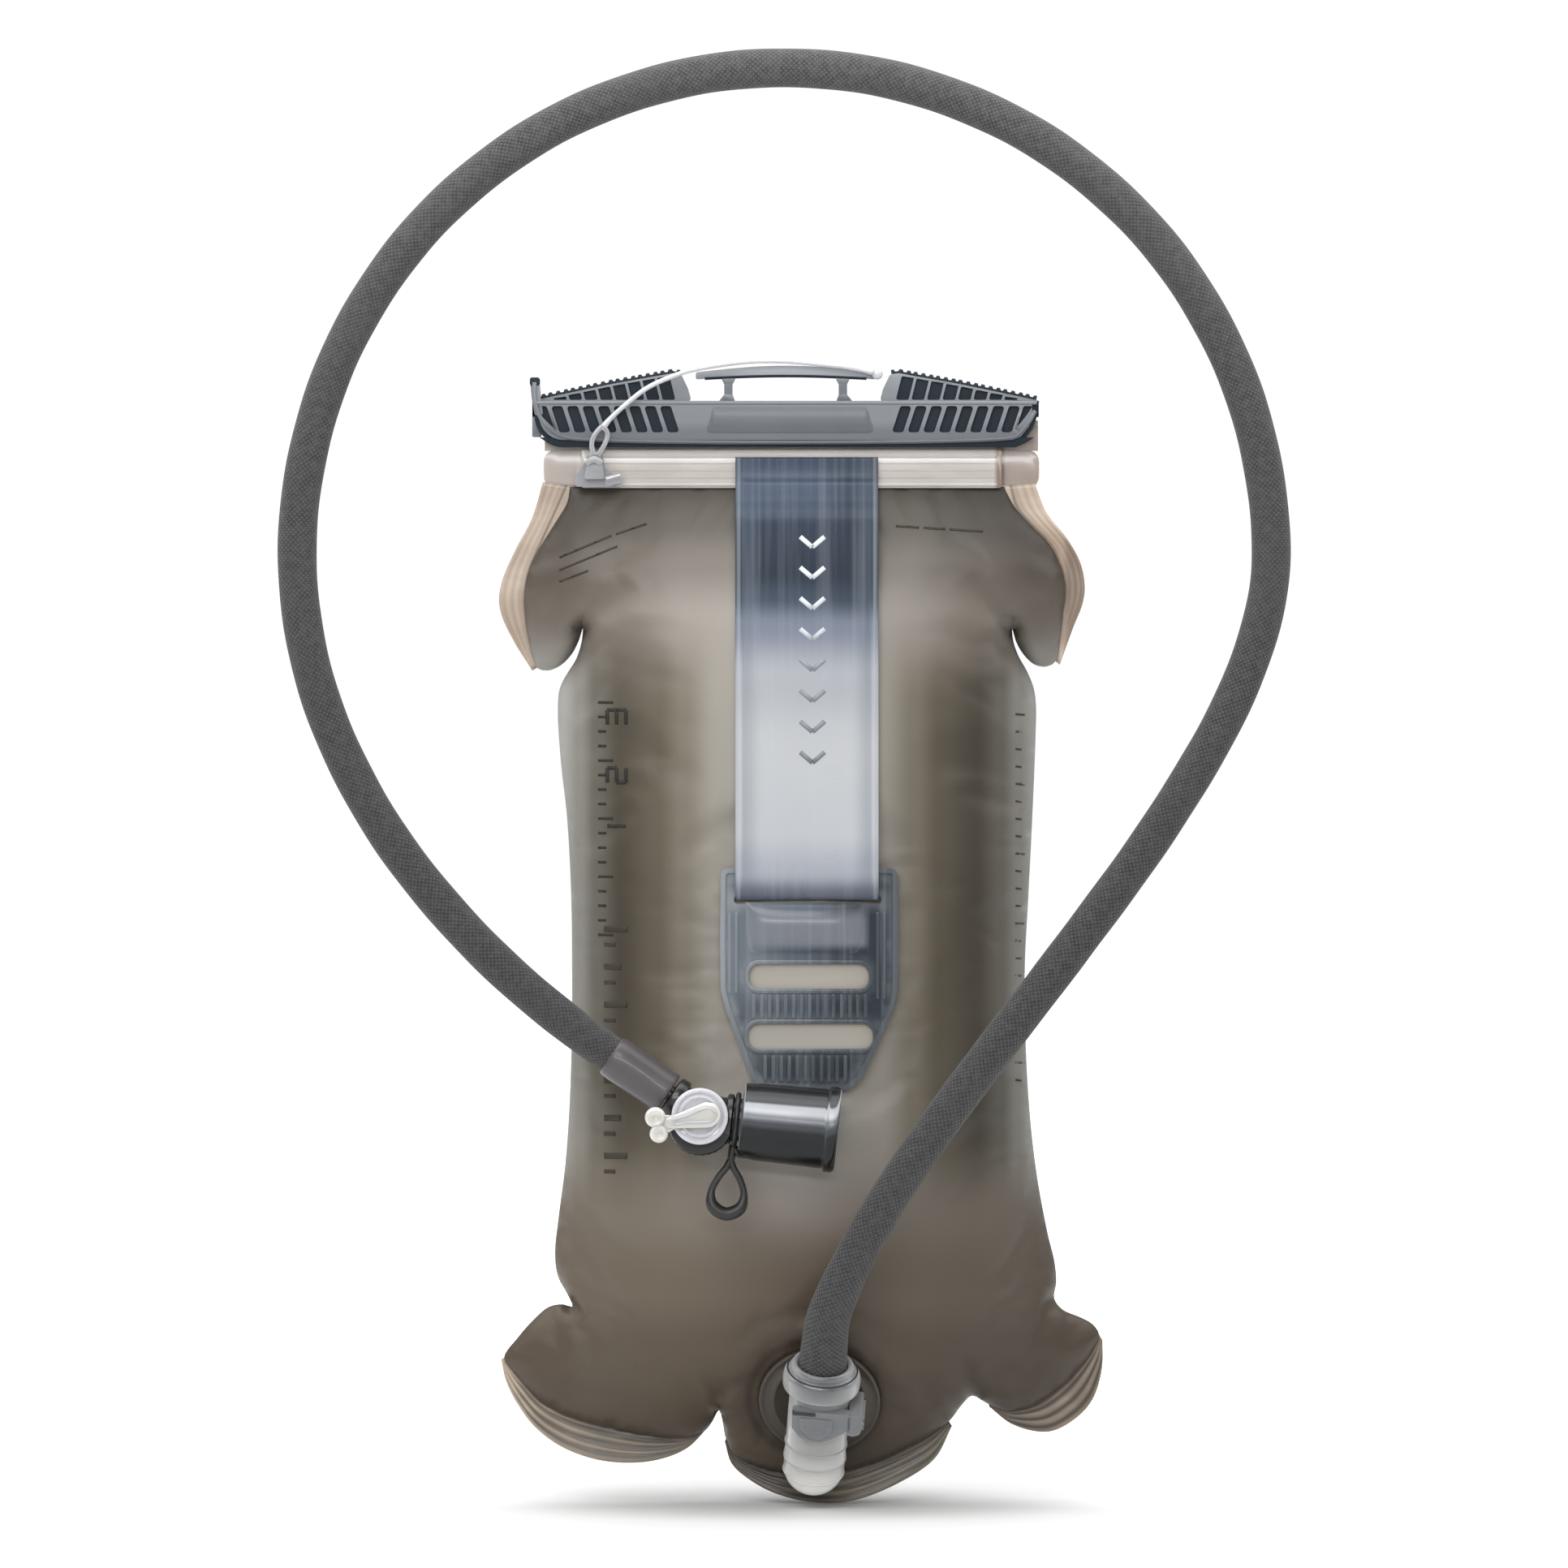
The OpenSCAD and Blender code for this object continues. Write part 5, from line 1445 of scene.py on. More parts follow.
def build_dial(mats):
    """Clear dial: ring, drop-shaped thumb bar, and a tail of two round lobes."""
    clear, white = mats
    disc = lathe("disc", [(0, 8.8), (9.2, 8.8), (9.7, 9.2), (9.7, 11.5), (9.4, 12.1), (8.8, 12.3),
            (8.3, 12.0), (8.0, 11.1), (7.5, 11.0), (7.2, 11.9), (6.6, 12.2), (6.0, 11.7), (5.8, 11.2),
            (0, 11.2)], VALVE, clear, 72, "-y")
    drop = [(10.4 + 1.9 * math.cos(a), 1.9 * math.sin(a)) for a in np.radians(np.linspace(-70, 70, 8))]
    drop += [(-2.6 + 4.6 * math.cos(a), 4.3 * math.sin(a)) for a in np.radians(np.linspace(80, 280, 16))]
    bar = prism("bar", drop, -15.0, -11.2, white, 1.0, place=TAIL)
    ring = spline([(-5.6, -15.0, 0), (-3.6, -15.0, 2.3), (0.8, -15.0, 1.9), (5.0, -15.0, 1.0),
            (9.0, -15.0, 0.6), (9.0, -15.0, -0.6), (5.0, -15.0, -1.0), (0.8, -15.0, -1.9),
            (-3.6, -15.0, -2.3)], 0.6, True)
    ring = tube("ring", to_world(np.vstack([ring, ring[:1]]), TAIL), 0.5, clear, 8)
    parts = [disc, bar, ring]
    for z, size in ((-2.9, 1.06), (2.8, 0.94)):
        lobe = (VALVE_R, shifted(TAIL, 14.9, 0, z)[1])
        parts.append(lathe("lobe", [(0, 10.4), (2.7 * size, 10.4), (3.3 * size, 11.0), (3.4 * size, 13.4),
                    (3.1 * size, 14.9), (2.4 * size, 15.5), (1.4, 15.2), (1.0, 14.7), (0, 14.6)], lobe,
                white, 32, "-y"))
    tail = rounded([(8.6, -2.2), (13.6, -3.6), (13.6, 3.6), (8.6, 2.2)], 0.8)
    parts.append(prism("tail", tail, -14.4, -11.0, white, 0.7, place=TAIL))
    return sharp(join("dial_shell", parts), 48)


def build_cover(mat):
    """Dust cover: a cup over the mouthpiece with a rolled rim at its far end."""
    e = 47.6
    p = [(11.6, 14.6), (12.4, 14.6), (12.9, 14.9), (13.0, 16.4), (12.9, 17.0), (13.3, 20.0),
        (13.75, e - 5.2), (13.6, e - 4.6), (13.75, e - 4.2), (14.4, e - 3.9), (14.75, e - 3.4),
        (14.8, e - 1.4), (14.4, e - 0.5), (13.6, e), (12.4, e), (11.8, e - 0.35), (0, e - 0.3),
        (0, e - 1.9), (11.4, e - 2.0), (11.2, 18.0), (11.6, 14.6)]
    return sharp(lathe("cover_shell", p, VALVE, mat, 88, "x"), 55)


def build_mouthpiece(mat):
    """Soft mouthpiece: a collar on the valve's neck, a waisted body and a slit."""
    p = [(0, 18.9), (7.5, 18.9), (7.6, 14.2), (9.7, 14.1), (10.1, 14.5), (10.4, 16.0), (10.0, 17.6),
        (9.4, 19.6), (9.2, 22.0), (9.5, 25.4), (9.1, 27.6), (8.0, 29.3), (6.2, 30.2), (3.0, 30.35),
        (0, 30.1)]
    body = lathe("bite", p, VALVE, mat, 56, "x")
    slit = prism("slit", round_box(29.6, 30.6, -4.2, 4.2, 0.3), -0.22, 0.22, mat, 0.0, place=VALVE)
    return sharp(join("bite_shell", [body, slit]), 50)


def build_cover_tether(mat):
    """Soft ring round the neck with a drop-shaped pull loop and a link to the cover's rim."""
    a = np.linspace(0, 2 * np.pi, 57)
    ring = to_world([(12.6, 8.55 * math.cos(t), 8.55 * math.sin(t)) for t in a], VALVE)
    parts = [tube("neck", ring, 0.95, mat, 12, up=MOUTH_OUT)]
    drop = spline([(12.0, 0, -14.2), (13.3, 0, -16.6), (16.0, 0, -20.5), (17.8, 0, -25.4),
            (16.9, 0, -30.1), (12.2, 0, -32.5), (7.5, 0, -30.1), (6.6, 0, -25.4), (8.4, 0, -20.5),
            (10.9, 0, -16.6)], 0.8, True)
    z = drop[:, 2]
    r = 1.15 + 1.15 * ramp(-24.0, -32.0, z)
    parts.append(tube("loop", to_world(np.vstack([drop, drop[:1]]), VALVE), np.r_[r, r[:1]], mat, 12))
    stem = spline([(12.6, 0, -8.8), (12.3, 0, -11.6), (12.1, 0, -15.0)], 0.6)
    parts.append(tube("stem", to_world(stem, VALVE), np.linspace(1.5, 1.25, len(stem)), mat, 12))
    return join("tether_loop", parts)


def build_link(mat):
    """Short strip from the neck ring to the dust cover's rim."""
    path = spline([(12.9, 0, -9.4), (13.6, -0.6, -10.6), (14.3, -0.4, -11.6), (15.2, 0, -12.2)], 0.5)
    return tube("cover_link", to_world(path, VALVE), 0.9, mat, 10)


# ---------------------------------------------------------------- print on the film
def mark(tree, corners, lift=0.15, step=1.0):
    """A thin printed shape laid on the film."""
    loop = fine(corners, step)
    tris, pts = fill(loop, inner=lattice(loop, step) if len(loop) > 12 else None)
    y = np.array([film_y(tree, x, z) for x, z in pts])
    top = np.stack([pts[:, 0], y - lift, pts[:, 1]], 1)
    low = top + [0, lift + 0.3, 0]
    return make("mark", np.vstack([top, low]), two_skins(tris, len(pts)))


def bar_mark(tree, p, q, w, **more):
    """A printed bar from p to q, w wide."""
    p, q = np.array(p, float), np.array(q, float)
    d = (q - p) / np.linalg.norm(q - p)
    n = np.array([-d[1], d[0]]) * w / 2
    return mark(tree, [p - n, q - n, q + n, p + n], **more)


DIGITS = {"1": "bc", "2": "abged", "3": "abgcd"}


def numeral(tree, digit, x, z, w, h, stroke):
    """A plain segment numeral that reads from the bag's foot upwards."""
    p = {"a": ((0, 1), (1, 1)), "b": ((1, 1), (1, 0.5)), "c": ((1, 0.5), (1, 0)), "d": ((0, 0), (1, 0)),
         "e": ((0, 0.5), (0, 0)), "f": ((0, 1), (0, 0.5)), "g": ((0, 0.5), (1, 0.5))}
    out = []
    for seg in DIGITS[digit]:
        (a0, b0), (a1, b1) = p[seg]
        out.append(bar_mark(tree, (x - b0 * h, z + a0 * w), (x - b1 * h, z + a1 * w), stroke))
    return out


def build_print(tree, ink, faint):
    """A plain volume scale at the left, ticks at the right, and short lines by the shoulders."""
    dark, soft = [], []
    for i in range(17):
        z = -108 - i * 5.0
        long = i % 4 == 0
        dark.append(bar_mark(tree, (-64.6, z), (-64.6 + (5.2 if long else 2.8), z), 0.85))
    for digit, z in (("3", -112.0), ("2", -132.0), ("1", -152.0)):
        dark += numeral(tree, digit, -55.0, z - 3.6, 5.0, 6.4, 1.25)
    for i in range(7):
        z = -186 - i * 13.0
        soft.append(bar_mark(tree, (-62.5, z), (-54.5 - (i % 2) * 2.2, z), 2.1))
        soft.append(bar_mark(tree, (-62.5, z - 5.4), (-58.6, z - 5.4), 1.3))
    for i in range(22):
        z = -112 - i * 6.0
        soft.append(bar_mark(tree, (79.2, z), (79.2 + (2.6 if i % 4 else 4.0) * 0.8, z - 0.3), 0.7))
    for (x0, z0), (x1, z1) in (((-78, -58), (-60, -50.5)), ((-58.5, -50), (-48, -46.4)),
            ((-78, -62.4), (-58, -54.2)), ((-78, -66.4), (-68, -62.6))):
        soft.append(bar_mark(tree, (x0, z0), (x1, z1), 0.7))
    for x0, x1 in ((38, 46), (47.5, 55), (56.5, 68)):
        soft.append(bar_mark(tree, (x0, -47.2 - (x0 - 38) * 0.06), (x1, -47.2 - (x1 - 38) * 0.06), 0.8))
    out = []
    for name, marks, mat in (("volume_scale", dark, ink), ("faint_print", soft, faint)):
        for m in marks:
            m.data.materials.append(mat)
        out.append(join(name, marks))
    return out


def build_chevrons(strap, mat):
    """Plain arrows down the strap, in place of its lettering."""
    tree = surface(strap)
    parts = []
    for i in range(8):
        z = -51.0 - i * 10.6
        for sgn in (-1, 1):
            m = bar_mark(tree, (9.2 + sgn * 4.2, z), (9.2, z - 3.6), 1.6, lift=0.06, step=2.0)
            m.data.materials.append(mat)
            parts.append(m)
    return join("strap_arrows", parts)


# ---------------------------------------------------------------- materials of this bag
def strap_material():
    """Clear strap: dark blue where it lies double at its weld, pale further down where a broad highlight is
    painted in, with long fine lines.
    """
    m = Mat("strap_film", IOR=1.42, Specular_IOR_Level=0.22, Coat_Weight=0.05, Coat_Roughness=0.16)
    x, _, z = m.coords()
    down = m.span(z, 0.0, -200.0)
    # the pale stretch further down is a painted broad highlight
    base = m.ramp(down, [(0.12, rgb(40, 52, 72)), (0.16, rgb(66, 76, 94)), (0.20, rgb(58, 68, 84)),
            (0.24, rgb(30, 40, 56)), (0.32, rgb(23, 34, 47)), (0.36, rgb(42, 53, 68)),
            (0.41, rgb(100, 107, 122)), (0.50, rgb(154, 157, 162)), (0.62, rgb(168, 170, 173)),
            (0.76, rgb(166, 169, 173)), (0.83, rgb(144, 148, 156)), (0.87, rgb(92, 98, 110))])
    across = m.away(x, STRAP_X, STRAP_HALF)
    right = m.ramp(m.span(x, STRAP_X, STRAP_X + STRAP_HALF), [(0.1, 0.0), (0.6, 0.5), (1.0, 0.5)])
    base = m.mix(m.math("MULTIPLY", right, m.ramp(down, [(0.34, 1.0), (0.42, 0.0)])), base, rgb(22, 32, 44))
    base = m.mix(m.ramp(across, [(0.91, 0.0), (0.95, 0.28), (1.0, 0.05)]), base, rgb(168, 174, 180))
    base = m.mix(m.ramp(across, [(0.0, 0.0), (0.6, 0.0), (0.88, 0.35), (0.93, 0.0)]), base, rgb(76, 86, 98))
    lines = m.noise(6.0, 3.0, 0.5, (70.0, 1.0, 1.6))
    base = m.mix(m.ramp(lines, [(0.4, 0.0), (0.8, 0.10)]), base, rgb(176, 184, 190))
    cloud = m.noise(20.0, 3.0)
    m.color(m.mix(m.ramp(cloud, [(0.35, 0.0), (0.8, 0.14)]), base, rgb(70, 82, 98)))
    m.rough(0.22, 0.36, cloud)
    m.bump(lines, 0.05, 0.4)
    m.bump(m.noise(700.0, 2.0), 0.03, 0.4)
    return m.mat


def seam_material(name, colors, streak, light_and_shade, **more):
    """Welded margin: cloudy tints, drawn streaks, painted shade in the hollows between its ribs, and painted
    light and shade that change along its width.
    """
    m = Mat(name, IOR=1.46, Coat_Weight=0.25, Coat_Roughness=0.25, Subsurface_Weight=0.15,
        Subsurface_Scale=0.003, **more)
    x = m.coords()[0]
    cloud = m.noise(22.0, 4.0, 0.55)
    base = m.ramp(cloud, [(0.25, colors[0]), (0.55, colors[1]), (0.8, colors[2])])
    lines = m.noise(14.0, 4.0, 0.6, (1.0, 1.0, 5.0))
    base = m.mix(m.ramp(lines, [(0.35, 0.0), (0.7, 0.45)]), base, streak)
    # painted light and shade: the margin is made lighter or darker by turns along the bag's width
    across = m.span(x, -110.0, 110.0)
    base = m.mix(1.0, base, m.ramp(across, [((at + 110.0) / 220.0, tone) for at, tone in light_and_shade]), "MULTIPLY")
    # painted shade in the hollows between the ribs and along the weld, a painted highlight on the ribs
    groove_shade = m.add("ShaderNodeAttribute", attribute_name="groove_shade")
    m.color(m.mix(1.0, base, m.ramp(groove_shade.outputs["Fac"],
                [(0.0, 1.1), (0.35, (0.85, 0.84, 0.83)), (1.0, (0.26, 0.24, 0.21))]), "MULTIPLY"))
    m.rough(0.28, 0.45, cloud)
    m.bump(lines, 0.25, 0.5)
    m.bump(m.noise(600.0, 2.0), 0.04, 0.5)
    return m.mat


def strip_material():
    """Pale mouth band, browner at its two end tabs, each set off by a thin dark line."""
    m = Mat("mouth_band", IOR=1.49, Coat_Weight=0.5, Coat_Roughness=0.12, Subsurface_Weight=0.3,
        Subsurface_Scale=0.005)
    x = m.coords()[0]
    flow = m.flow()
    base = m.mix(m.ramp(flow, [(0.35, 0.0), (0.75, 0.5)]), rgb(180, 173, 168), rgb(156, 147, 140))
    across = m.span(x, -90.0, 90.0)
    tab = m.ramp(across, [(0.0, 0.35), (0.095, 0.3), (0.105, 0.0), (0.90, 0.0), (0.905, 1.0), (0.917, 1.0),
            (0.922, 0.55), (1.0, 0.7)])
    base = m.mix(tab, base, rgb(122, 104, 92))
    # painted rim highlight: paler where the band turns away from the camera
    m.color(m.mix(m.facing(), base, (0.82, 0.8, 0.78, 1)))
    m.rough(0.16, 0.3, flow)
    m.bump(m.noise(300.0, 3.0), 0.05, 0.5)
    return m.mat


def bar_material():
    """Blue-grey moulded plastic, with a painted highlight along its raised edges and on the hanger at its
    top.
    """
    m = Mat("bar_plastic", IOR=1.46, Specular_IOR_Level=0.35, Coat_Weight=0.12, Coat_Roughness=0.16)
    edge = m.edge(0.56)
    cloud = m.noise(24.0, 3.0)
    # the tone changes with height; its pale top is a painted highlight on the hanger
    up = m.span(m.coords()[2], -20.0, 12.0)
    base = m.ramp(up, [(0.02, rgb(70, 74, 80)), (0.12, rgb(74, 78, 85)), (0.30, rgb(50, 56, 63)),
            (0.44, rgb(40, 46, 53)), (0.52, rgb(62, 67, 73)), (0.62, rgb(46, 52, 59)),
            (0.74, rgb(74, 79, 85)), (0.84, rgb(150, 153, 157))])
    base = m.mix(m.ramp(cloud, [(0.3, 0.0), (0.7, 0.2)]), base, rgb(110, 114, 121))
    # painted highlight along the raised edges, stronger higher up
    m.color(m.mix(m.math("MULTIPLY", edge, m.ramp(up,
                    [(0.0, 0.02), (0.14, 0.12), (0.30, 0.42), (0.6, 0.55)])), base, rgb(148, 152, 156)))
    m.rough(0.22, 0.36, cloud)
    m.bump(m.noise(500.0, 3.0), 0.04, 0.6)
    return m.mat


def clear_material(name, tint, core, rough=0.2, through=0.25, rim=0.93):
    """Milky clear plastic: a painted rim highlight makes it paler at grazing angles, with faint flow lines
    inside.
    """
    m = Mat(name, IOR=1.49, Coat_Weight=0.7, Coat_Roughness=0.08, Subsurface_Weight=0.35,
        Subsurface_Scale=0.005)
    m.bsdf.inputs["Transmission Weight"].default_value = through
    flow = m.flow()
    base = m.mix(m.ramp(flow, [(0.35, 0.0), (0.75, 0.5)]), tint, core)
    # painted rim highlight: paler where the surface turns away from the camera
    m.color(m.mix(m.facing(), base, (rim, rim, rim, 1)))
    m.rough(rough * 0.7, rough * 1.4, flow)
    m.bump(m.noise(300.0, 3.0), 0.05, 0.5)
    return m.mat


def plate_material():
    """Smoke-blue clear plate: painted shade darkens it towards its right, it is darker at its foot, and
    painted highlights run along its raised lines.
    """
    m = Mat("plate_smoke", IOR=1.45, Specular_IOR_Level=0.3, Coat_Weight=0.12, Coat_Roughness=0.12)
    x, _, z = m.coords()
    across = m.span(x, -24.0, 40.0)
    down = m.span(z, -160.0, -244.0)
    # painted shade: paler at the left, where the light falls, darker towards the right
    base = m.ramp(across, [(0.0, rgb(124, 130, 136)), (0.14, rgb(96, 104, 112)), (0.45, rgb(68, 77, 88)),
            (0.72, rgb(34, 42, 52)), (1.0, rgb(44, 52, 60))])
    base = m.mix(m.ramp(down, [(0.45, 0.0), (0.8, 0.75)]), base, rgb(28, 37, 46))
    # the strap's fold glows through the upper field
    # paler over the slot and the pillowed bar: partly the strap's fold seen through, partly a painted
    # highlight on the bar's bulge
    inside = m.ramp(m.away(x, STRAP_X, 24.0), [(0.78, 1.0), (0.92, 0.0)])
    glow = m.ramp(down, [(0.10, 0.0), (0.13, 0.5), (0.20, 0.15), (0.28, 0.85), (0.36, 0.9), (0.40, 0.0)])
    base = m.mix(m.math("MULTIPLY", inside, glow), base, rgb(112, 115, 122))
    lines = m.noise(7.0, 3.0, 0.5, (60.0, 1.0, 2.0))
    base = m.mix(m.ramp(lines, [(0.45, 0.0), (0.8, 0.3)]), base, rgb(134, 142, 150))
    # painted highlight along the raised lines, stronger at the left
    edge = m.edge(0.57)
    m.color(m.mix(m.math("MULTIPLY", edge, m.ramp(across, [(0.2, 0.42), (0.6, 0.2)])), base,
            rgb(150, 155, 159)))
    m.rough(0.16, 0.3, m.noise(40.0, 3.0))
    m.bump(m.noise(500.0, 2.0), 0.03, 0.5)
    return m.mat


def cover_material():
    """Glossy black cap with a painted highlight band along the side that faces up and forward."""
    m = Mat("cover_gloss", IOR=1.5, Specular_IOR_Level=0.28, Coat_Weight=0.2, Coat_Roughness=0.22)
    geo = m.add("ShaderNodeNewGeometry")
    turn = m.add("ShaderNodeSeparateXYZ")
    m.join(geo.outputs["Normal"], turn.inputs[0])
    # painted highlight: the colour turns pale where the surface faces up and forward
    up = m.math("ADD", m.math("MULTIPLY", turn.outputs[2], 0.5), 0.5)
    base = m.ramp(up, [(0.26, rgb(12, 16, 18)), (0.40, rgb(22, 26, 28)), (0.49, rgb(66, 69, 73)),
            (0.58, rgb(112, 115, 120)), (0.66, rgb(186, 189, 194)), (0.73, rgb(182, 184, 189)),
            (0.77, rgb(74, 74, 78)), (0.86, rgb(44, 45, 49)), (0.95, rgb(20, 23, 25))])
    m.color(m.mix(m.ramp(m.noise(40.0, 4.0), [(0.4, 0.0), (0.8, 0.2)]), base, rgb(30, 33, 36)))
    m.rough(0.16, 0.26, m.noise(60.0, 3.0))
    m.bump(m.noise(600.0, 3.0), 0.03, 0.5)
    return m.mat


def arrow_material():
    """Print that turns from white to grey down the strap."""
    m = Mat("strap_print", Roughness=0.4)
    z = m.coords()[2]
    down = m.span(z, 0.0, -200.0)
    base = m.ramp(down, [(0.30, rgb(206, 212, 216)), (0.40, rgb(186, 192, 198)),
            (0.48, rgb(132, 136, 143)), (0.7, rgb(110, 114, 120))])
    m.color(m.mix(m.ramp(m.noise(90.0, 3.0), [(0.4, 0.0), (0.8, 0.2)]), base, rgb(140, 148, 158)))
    m.rough(0.35, 0.5, m.noise(60.0, 2.0))
    return m.mat


def port_material():
    """Milky clear capsule: greyer under the latch as painted shade, whitest at its closed end as painted
    light, and pale along its rims as a painted rim highlight.
    """
    m = Mat("port_clear", IOR=1.49, Coat_Weight=0.6, Coat_Roughness=0.1, Subsurface_Weight=0.3,
        Subsurface_Scale=0.005)
    m.bsdf.inputs["Transmission Weight"].default_value = 0.06
    z = m.coords()[2]
    # painted shade under the latch, painted light at the closed end
    down = m.span(z, -345.0, -385.0)
    base = m.ramp(down, [(0.0, rgb(104, 106, 108)), (0.3, rgb(112, 113, 114)), (0.5, rgb(136, 136, 134)),
            (0.68, rgb(184, 183, 179)), (0.86, rgb(246, 244, 240))])
    flow = m.flow()
    base = m.mix(m.ramp(flow, [(0.35, 0.0), (0.75, 0.35)]), base, rgb(140, 141, 140))
    # painted rim highlight: paler where the surface turns away from the camera
    m.color(m.mix(m.facing(), base, (0.93, 0.93, 0.92, 1)))
    m.rough(0.14, 0.28, flow)
    m.bump(m.noise(300.0, 3.0), 0.05, 0.5)
    return m.mat


def metal_material():
    m = Mat("spring_steel", Metallic=1.0)
    grain = m.noise(250.0, 3.0)
    m.color(m.ramp(grain, [(0.3, rgb(150, 152, 155)), (0.7, rgb(205, 206, 208))]))
    m.rough(0.2, 0.38, grain)
    m.bump(grain, 0.02, 0.5)
    return m.mat


def floor_material():
    """White floor with a painted soft shadow under the bag. It glows for the camera alone, and more so far
    away.
    """
    m = Mat("floor_white", Roughness=0.7)
    x, y, _ = m.coords()
    # painted shadow: the floor darkens in an ellipse under the bag
    under = m.distance(m.math("DIVIDE", m.math("SUBTRACT", x, 5.0), 118.0), m.math("DIVIDE", y, 72.0))
    white = m.mix(m.noise(3.0, 2.0), (0.90, 0.90, 0.90, 1), (0.92, 0.92, 0.92, 1))
    m.color(m.mix(1.0, white, m.ramp(under, [(0.0, 0.84), (0.5, 0.87), (1.0, 1.0)]), "MULTIPLY"))
    away = m.distance(m.math("DIVIDE", x, 1000.0), m.math("DIVIDE", y, 1000.0))
    seen = m.add("ShaderNodeLightPath").outputs["Is Camera Ray"]
    glow = m.math("MULTIPLY", seen, m.ramp(away, [(0.14, 0.0), (0.6, 1.0)]))
    m.bsdf.inputs["Emission Color"].default_value = (1, 1, 1, 1)
    m.join(glow, m.bsdf.inputs["Emission Strength"])
    return m.mat


# ---------------------------------------------------------------- materials
film_front_mat = film_material("film_front")
# painted shade: the rear film is a copy of the front film's material, 8% darker
film_back_mat = film_material("film_rear", 0.92)
# the last list of each seam material is its painted light and shade along the bag's width
shoulder_mat = seam_material("seam_shoulder", (rgb(142, 127, 113), rgb(164, 149, 134), rgb(180, 167, 153)),
    rgb(136, 118, 103), [(-90, (1, 1, 1)), (80, (1, 1, 1)), (88, (1.12, 1.1, 1.08)),
        (95, (1.1, 1.06, 1.04)), (98, (0.6, 0.56, 0.53))])
foot_mat = seam_material("seam_foot", (rgb(92, 84, 74), rgb(128, 119, 107), rgb(168, 158, 144)),
    rgb(70, 62, 53), [(-97, (2.2, 2.15, 2.05)), (-82, (1.5, 1.47, 1.43)), (-60, (1.5, 1.47, 1.43)),
        (-42, (0.95, 0.93, 0.9)), (-20, (0.32, 0.30, 0.28)), (0, (0.36, 0.34, 0.32)),
        (26, (1.25, 1.22, 1.12)), (52, (0.8, 0.8, 0.74)), (76, (0.7, 0.66, 0.6)), (94, (1.0, 0.92, 0.86)),
        (108, (0.9, 0.82, 0.76))])
strip_mat = strip_material()
clip_mat = clear_material("clip_clear", rgb(150, 151, 155), rgb(92, 94, 100), 0.14, 0.15)
cord_mat = clear_material("cord_clear", rgb(196, 198, 202), rgb(168, 172, 178), 0.16, 0.2)
strap_mat = strap_material()
plate_mat = plate_material()
pad_mat = plain_material("plate_window", rgb(156, 151, 141), 0.4, 0.12, 120.0, 0.04, 0.08)
bar_mat = bar_material()
bar_dark_mat = plain_material("bar_shadow", rgb(30, 38, 46), 0.45, 0.14, 260.0, 0.05, 0.25,
    Specular_IOR_Level=0.12)
port_mat = port_material()
latch_mat = clear_material("latch_smoke", rgb(98, 102, 106), rgb(70, 76, 82), 0.24, 0.05, 0.42)
plug_mat = clear_material("plug_white", rgb(92, 94, 97), rgb(62, 65, 68), 0.18, 0.05, 0.8)
gap_mat = plain_material("gap_shadow", rgb(44, 44, 46), 0.5)
flange_mat = plain_material("flange_smoke", rgb(64, 57, 49), 0.4, 0.1, 90.0, 0.05, 0.12, Coat_Weight=0.1)
sleeve_mat = sleeve_material()
cuff_mat = plain_material("cuff_smooth", rgb(74, 70, 72), 0.42, 0.16, 240.0, 0.05, 0.14, Coat_Weight=0.2)
valve_mat = plain_material("valve_black", rgb(19, 20, 22), 0.3, 0.14, 320.0, 0.04, 0.2, Coat_Weight=0.35,
    Coat_Roughness=0.15)
dial_mat = clear_material("dial_clear", rgb(214, 214, 222), rgb(184, 184, 192), 0.16, 0.2)
lobe_mat = clear_material("dial_white", rgb(208, 206, 198), rgb(182, 180, 172), 0.2, 0.05)
cover_mat = cover_material()
bite_mat = plain_material("bite_silicone", rgb(66, 68, 72), 0.46, 0.14, 260.0, 0.06, 0.14, Sheen_Weight=0.3)
loop_mat = plain_material("tether_rubber", rgb(30, 30, 31), 0.4, 0.16, 340.0, 0.06, 0.3)
rubber_mat = plain_material("o_ring_rubber", rgb(26, 26, 27), 0.38, 0.16, 400.0, 0.05, 0.3)
steel_mat = metal_material()
ink_mat = plain_material("scale_ink", rgb(44, 42, 39), 0.5, 0.1, 300.0, 0.02, 0.1, Specular_IOR_Level=0.2)
faint_mat = plain_material("scale_faint", rgb(60, 56, 49), 0.5, 0.1, 300.0, 0.02, 0.1,
    Specular_IOR_Level=0.15)
arrow_mat = arrow_material()

# ---------------------------------------------------------------- pieces
bag_front, bag_back = build_bag(film_front_mat, film_back_mat)
front_tree = surface(bag_front)

margins = [
    margin("shoulder_margin_left", FLANGE_LEFT_TOP, shoulder_mat, 0.12, 1.6, 0.8),
    margin("shoulder_margin_right", FLANGE_RIGHT_TOP, shoulder_mat, 0.12, -1.4, 0.8),
    margin("foot_margin_left", FLANGE_LEFT_FOOT, foot_mat, 0.42, -2.0),
    margin("foot_margin_middle", FLANGE_MID_FOOT, foot_mat, 0.42, -1.6),
    margin("foot_margin_right", FLANGE_RIGHT_FOOT, foot_mat, 0.42, 1.8),
]
strap = build_strap(front_tree, strap_mat)
plate_body, plate_pads = build_plate(front_tree, (plate_mat, pad_mat))
scale_marks, faint_marks = build_print(front_tree, ink_mat, faint_mat)
arrows = build_chevrons(strap, arrow_mat)
strip_front = build_strip(-1, -70.5, 74.5, strip_mat)
strip_back = build_strip(1, -83.5, 87.5, strip_mat)
clip_tab = build_clip(clip_mat)
port_shell = build_port(port_mat)
flange_disc = build_flange(flange_mat)
latch = build_latch(latch_mat, gap_mat)
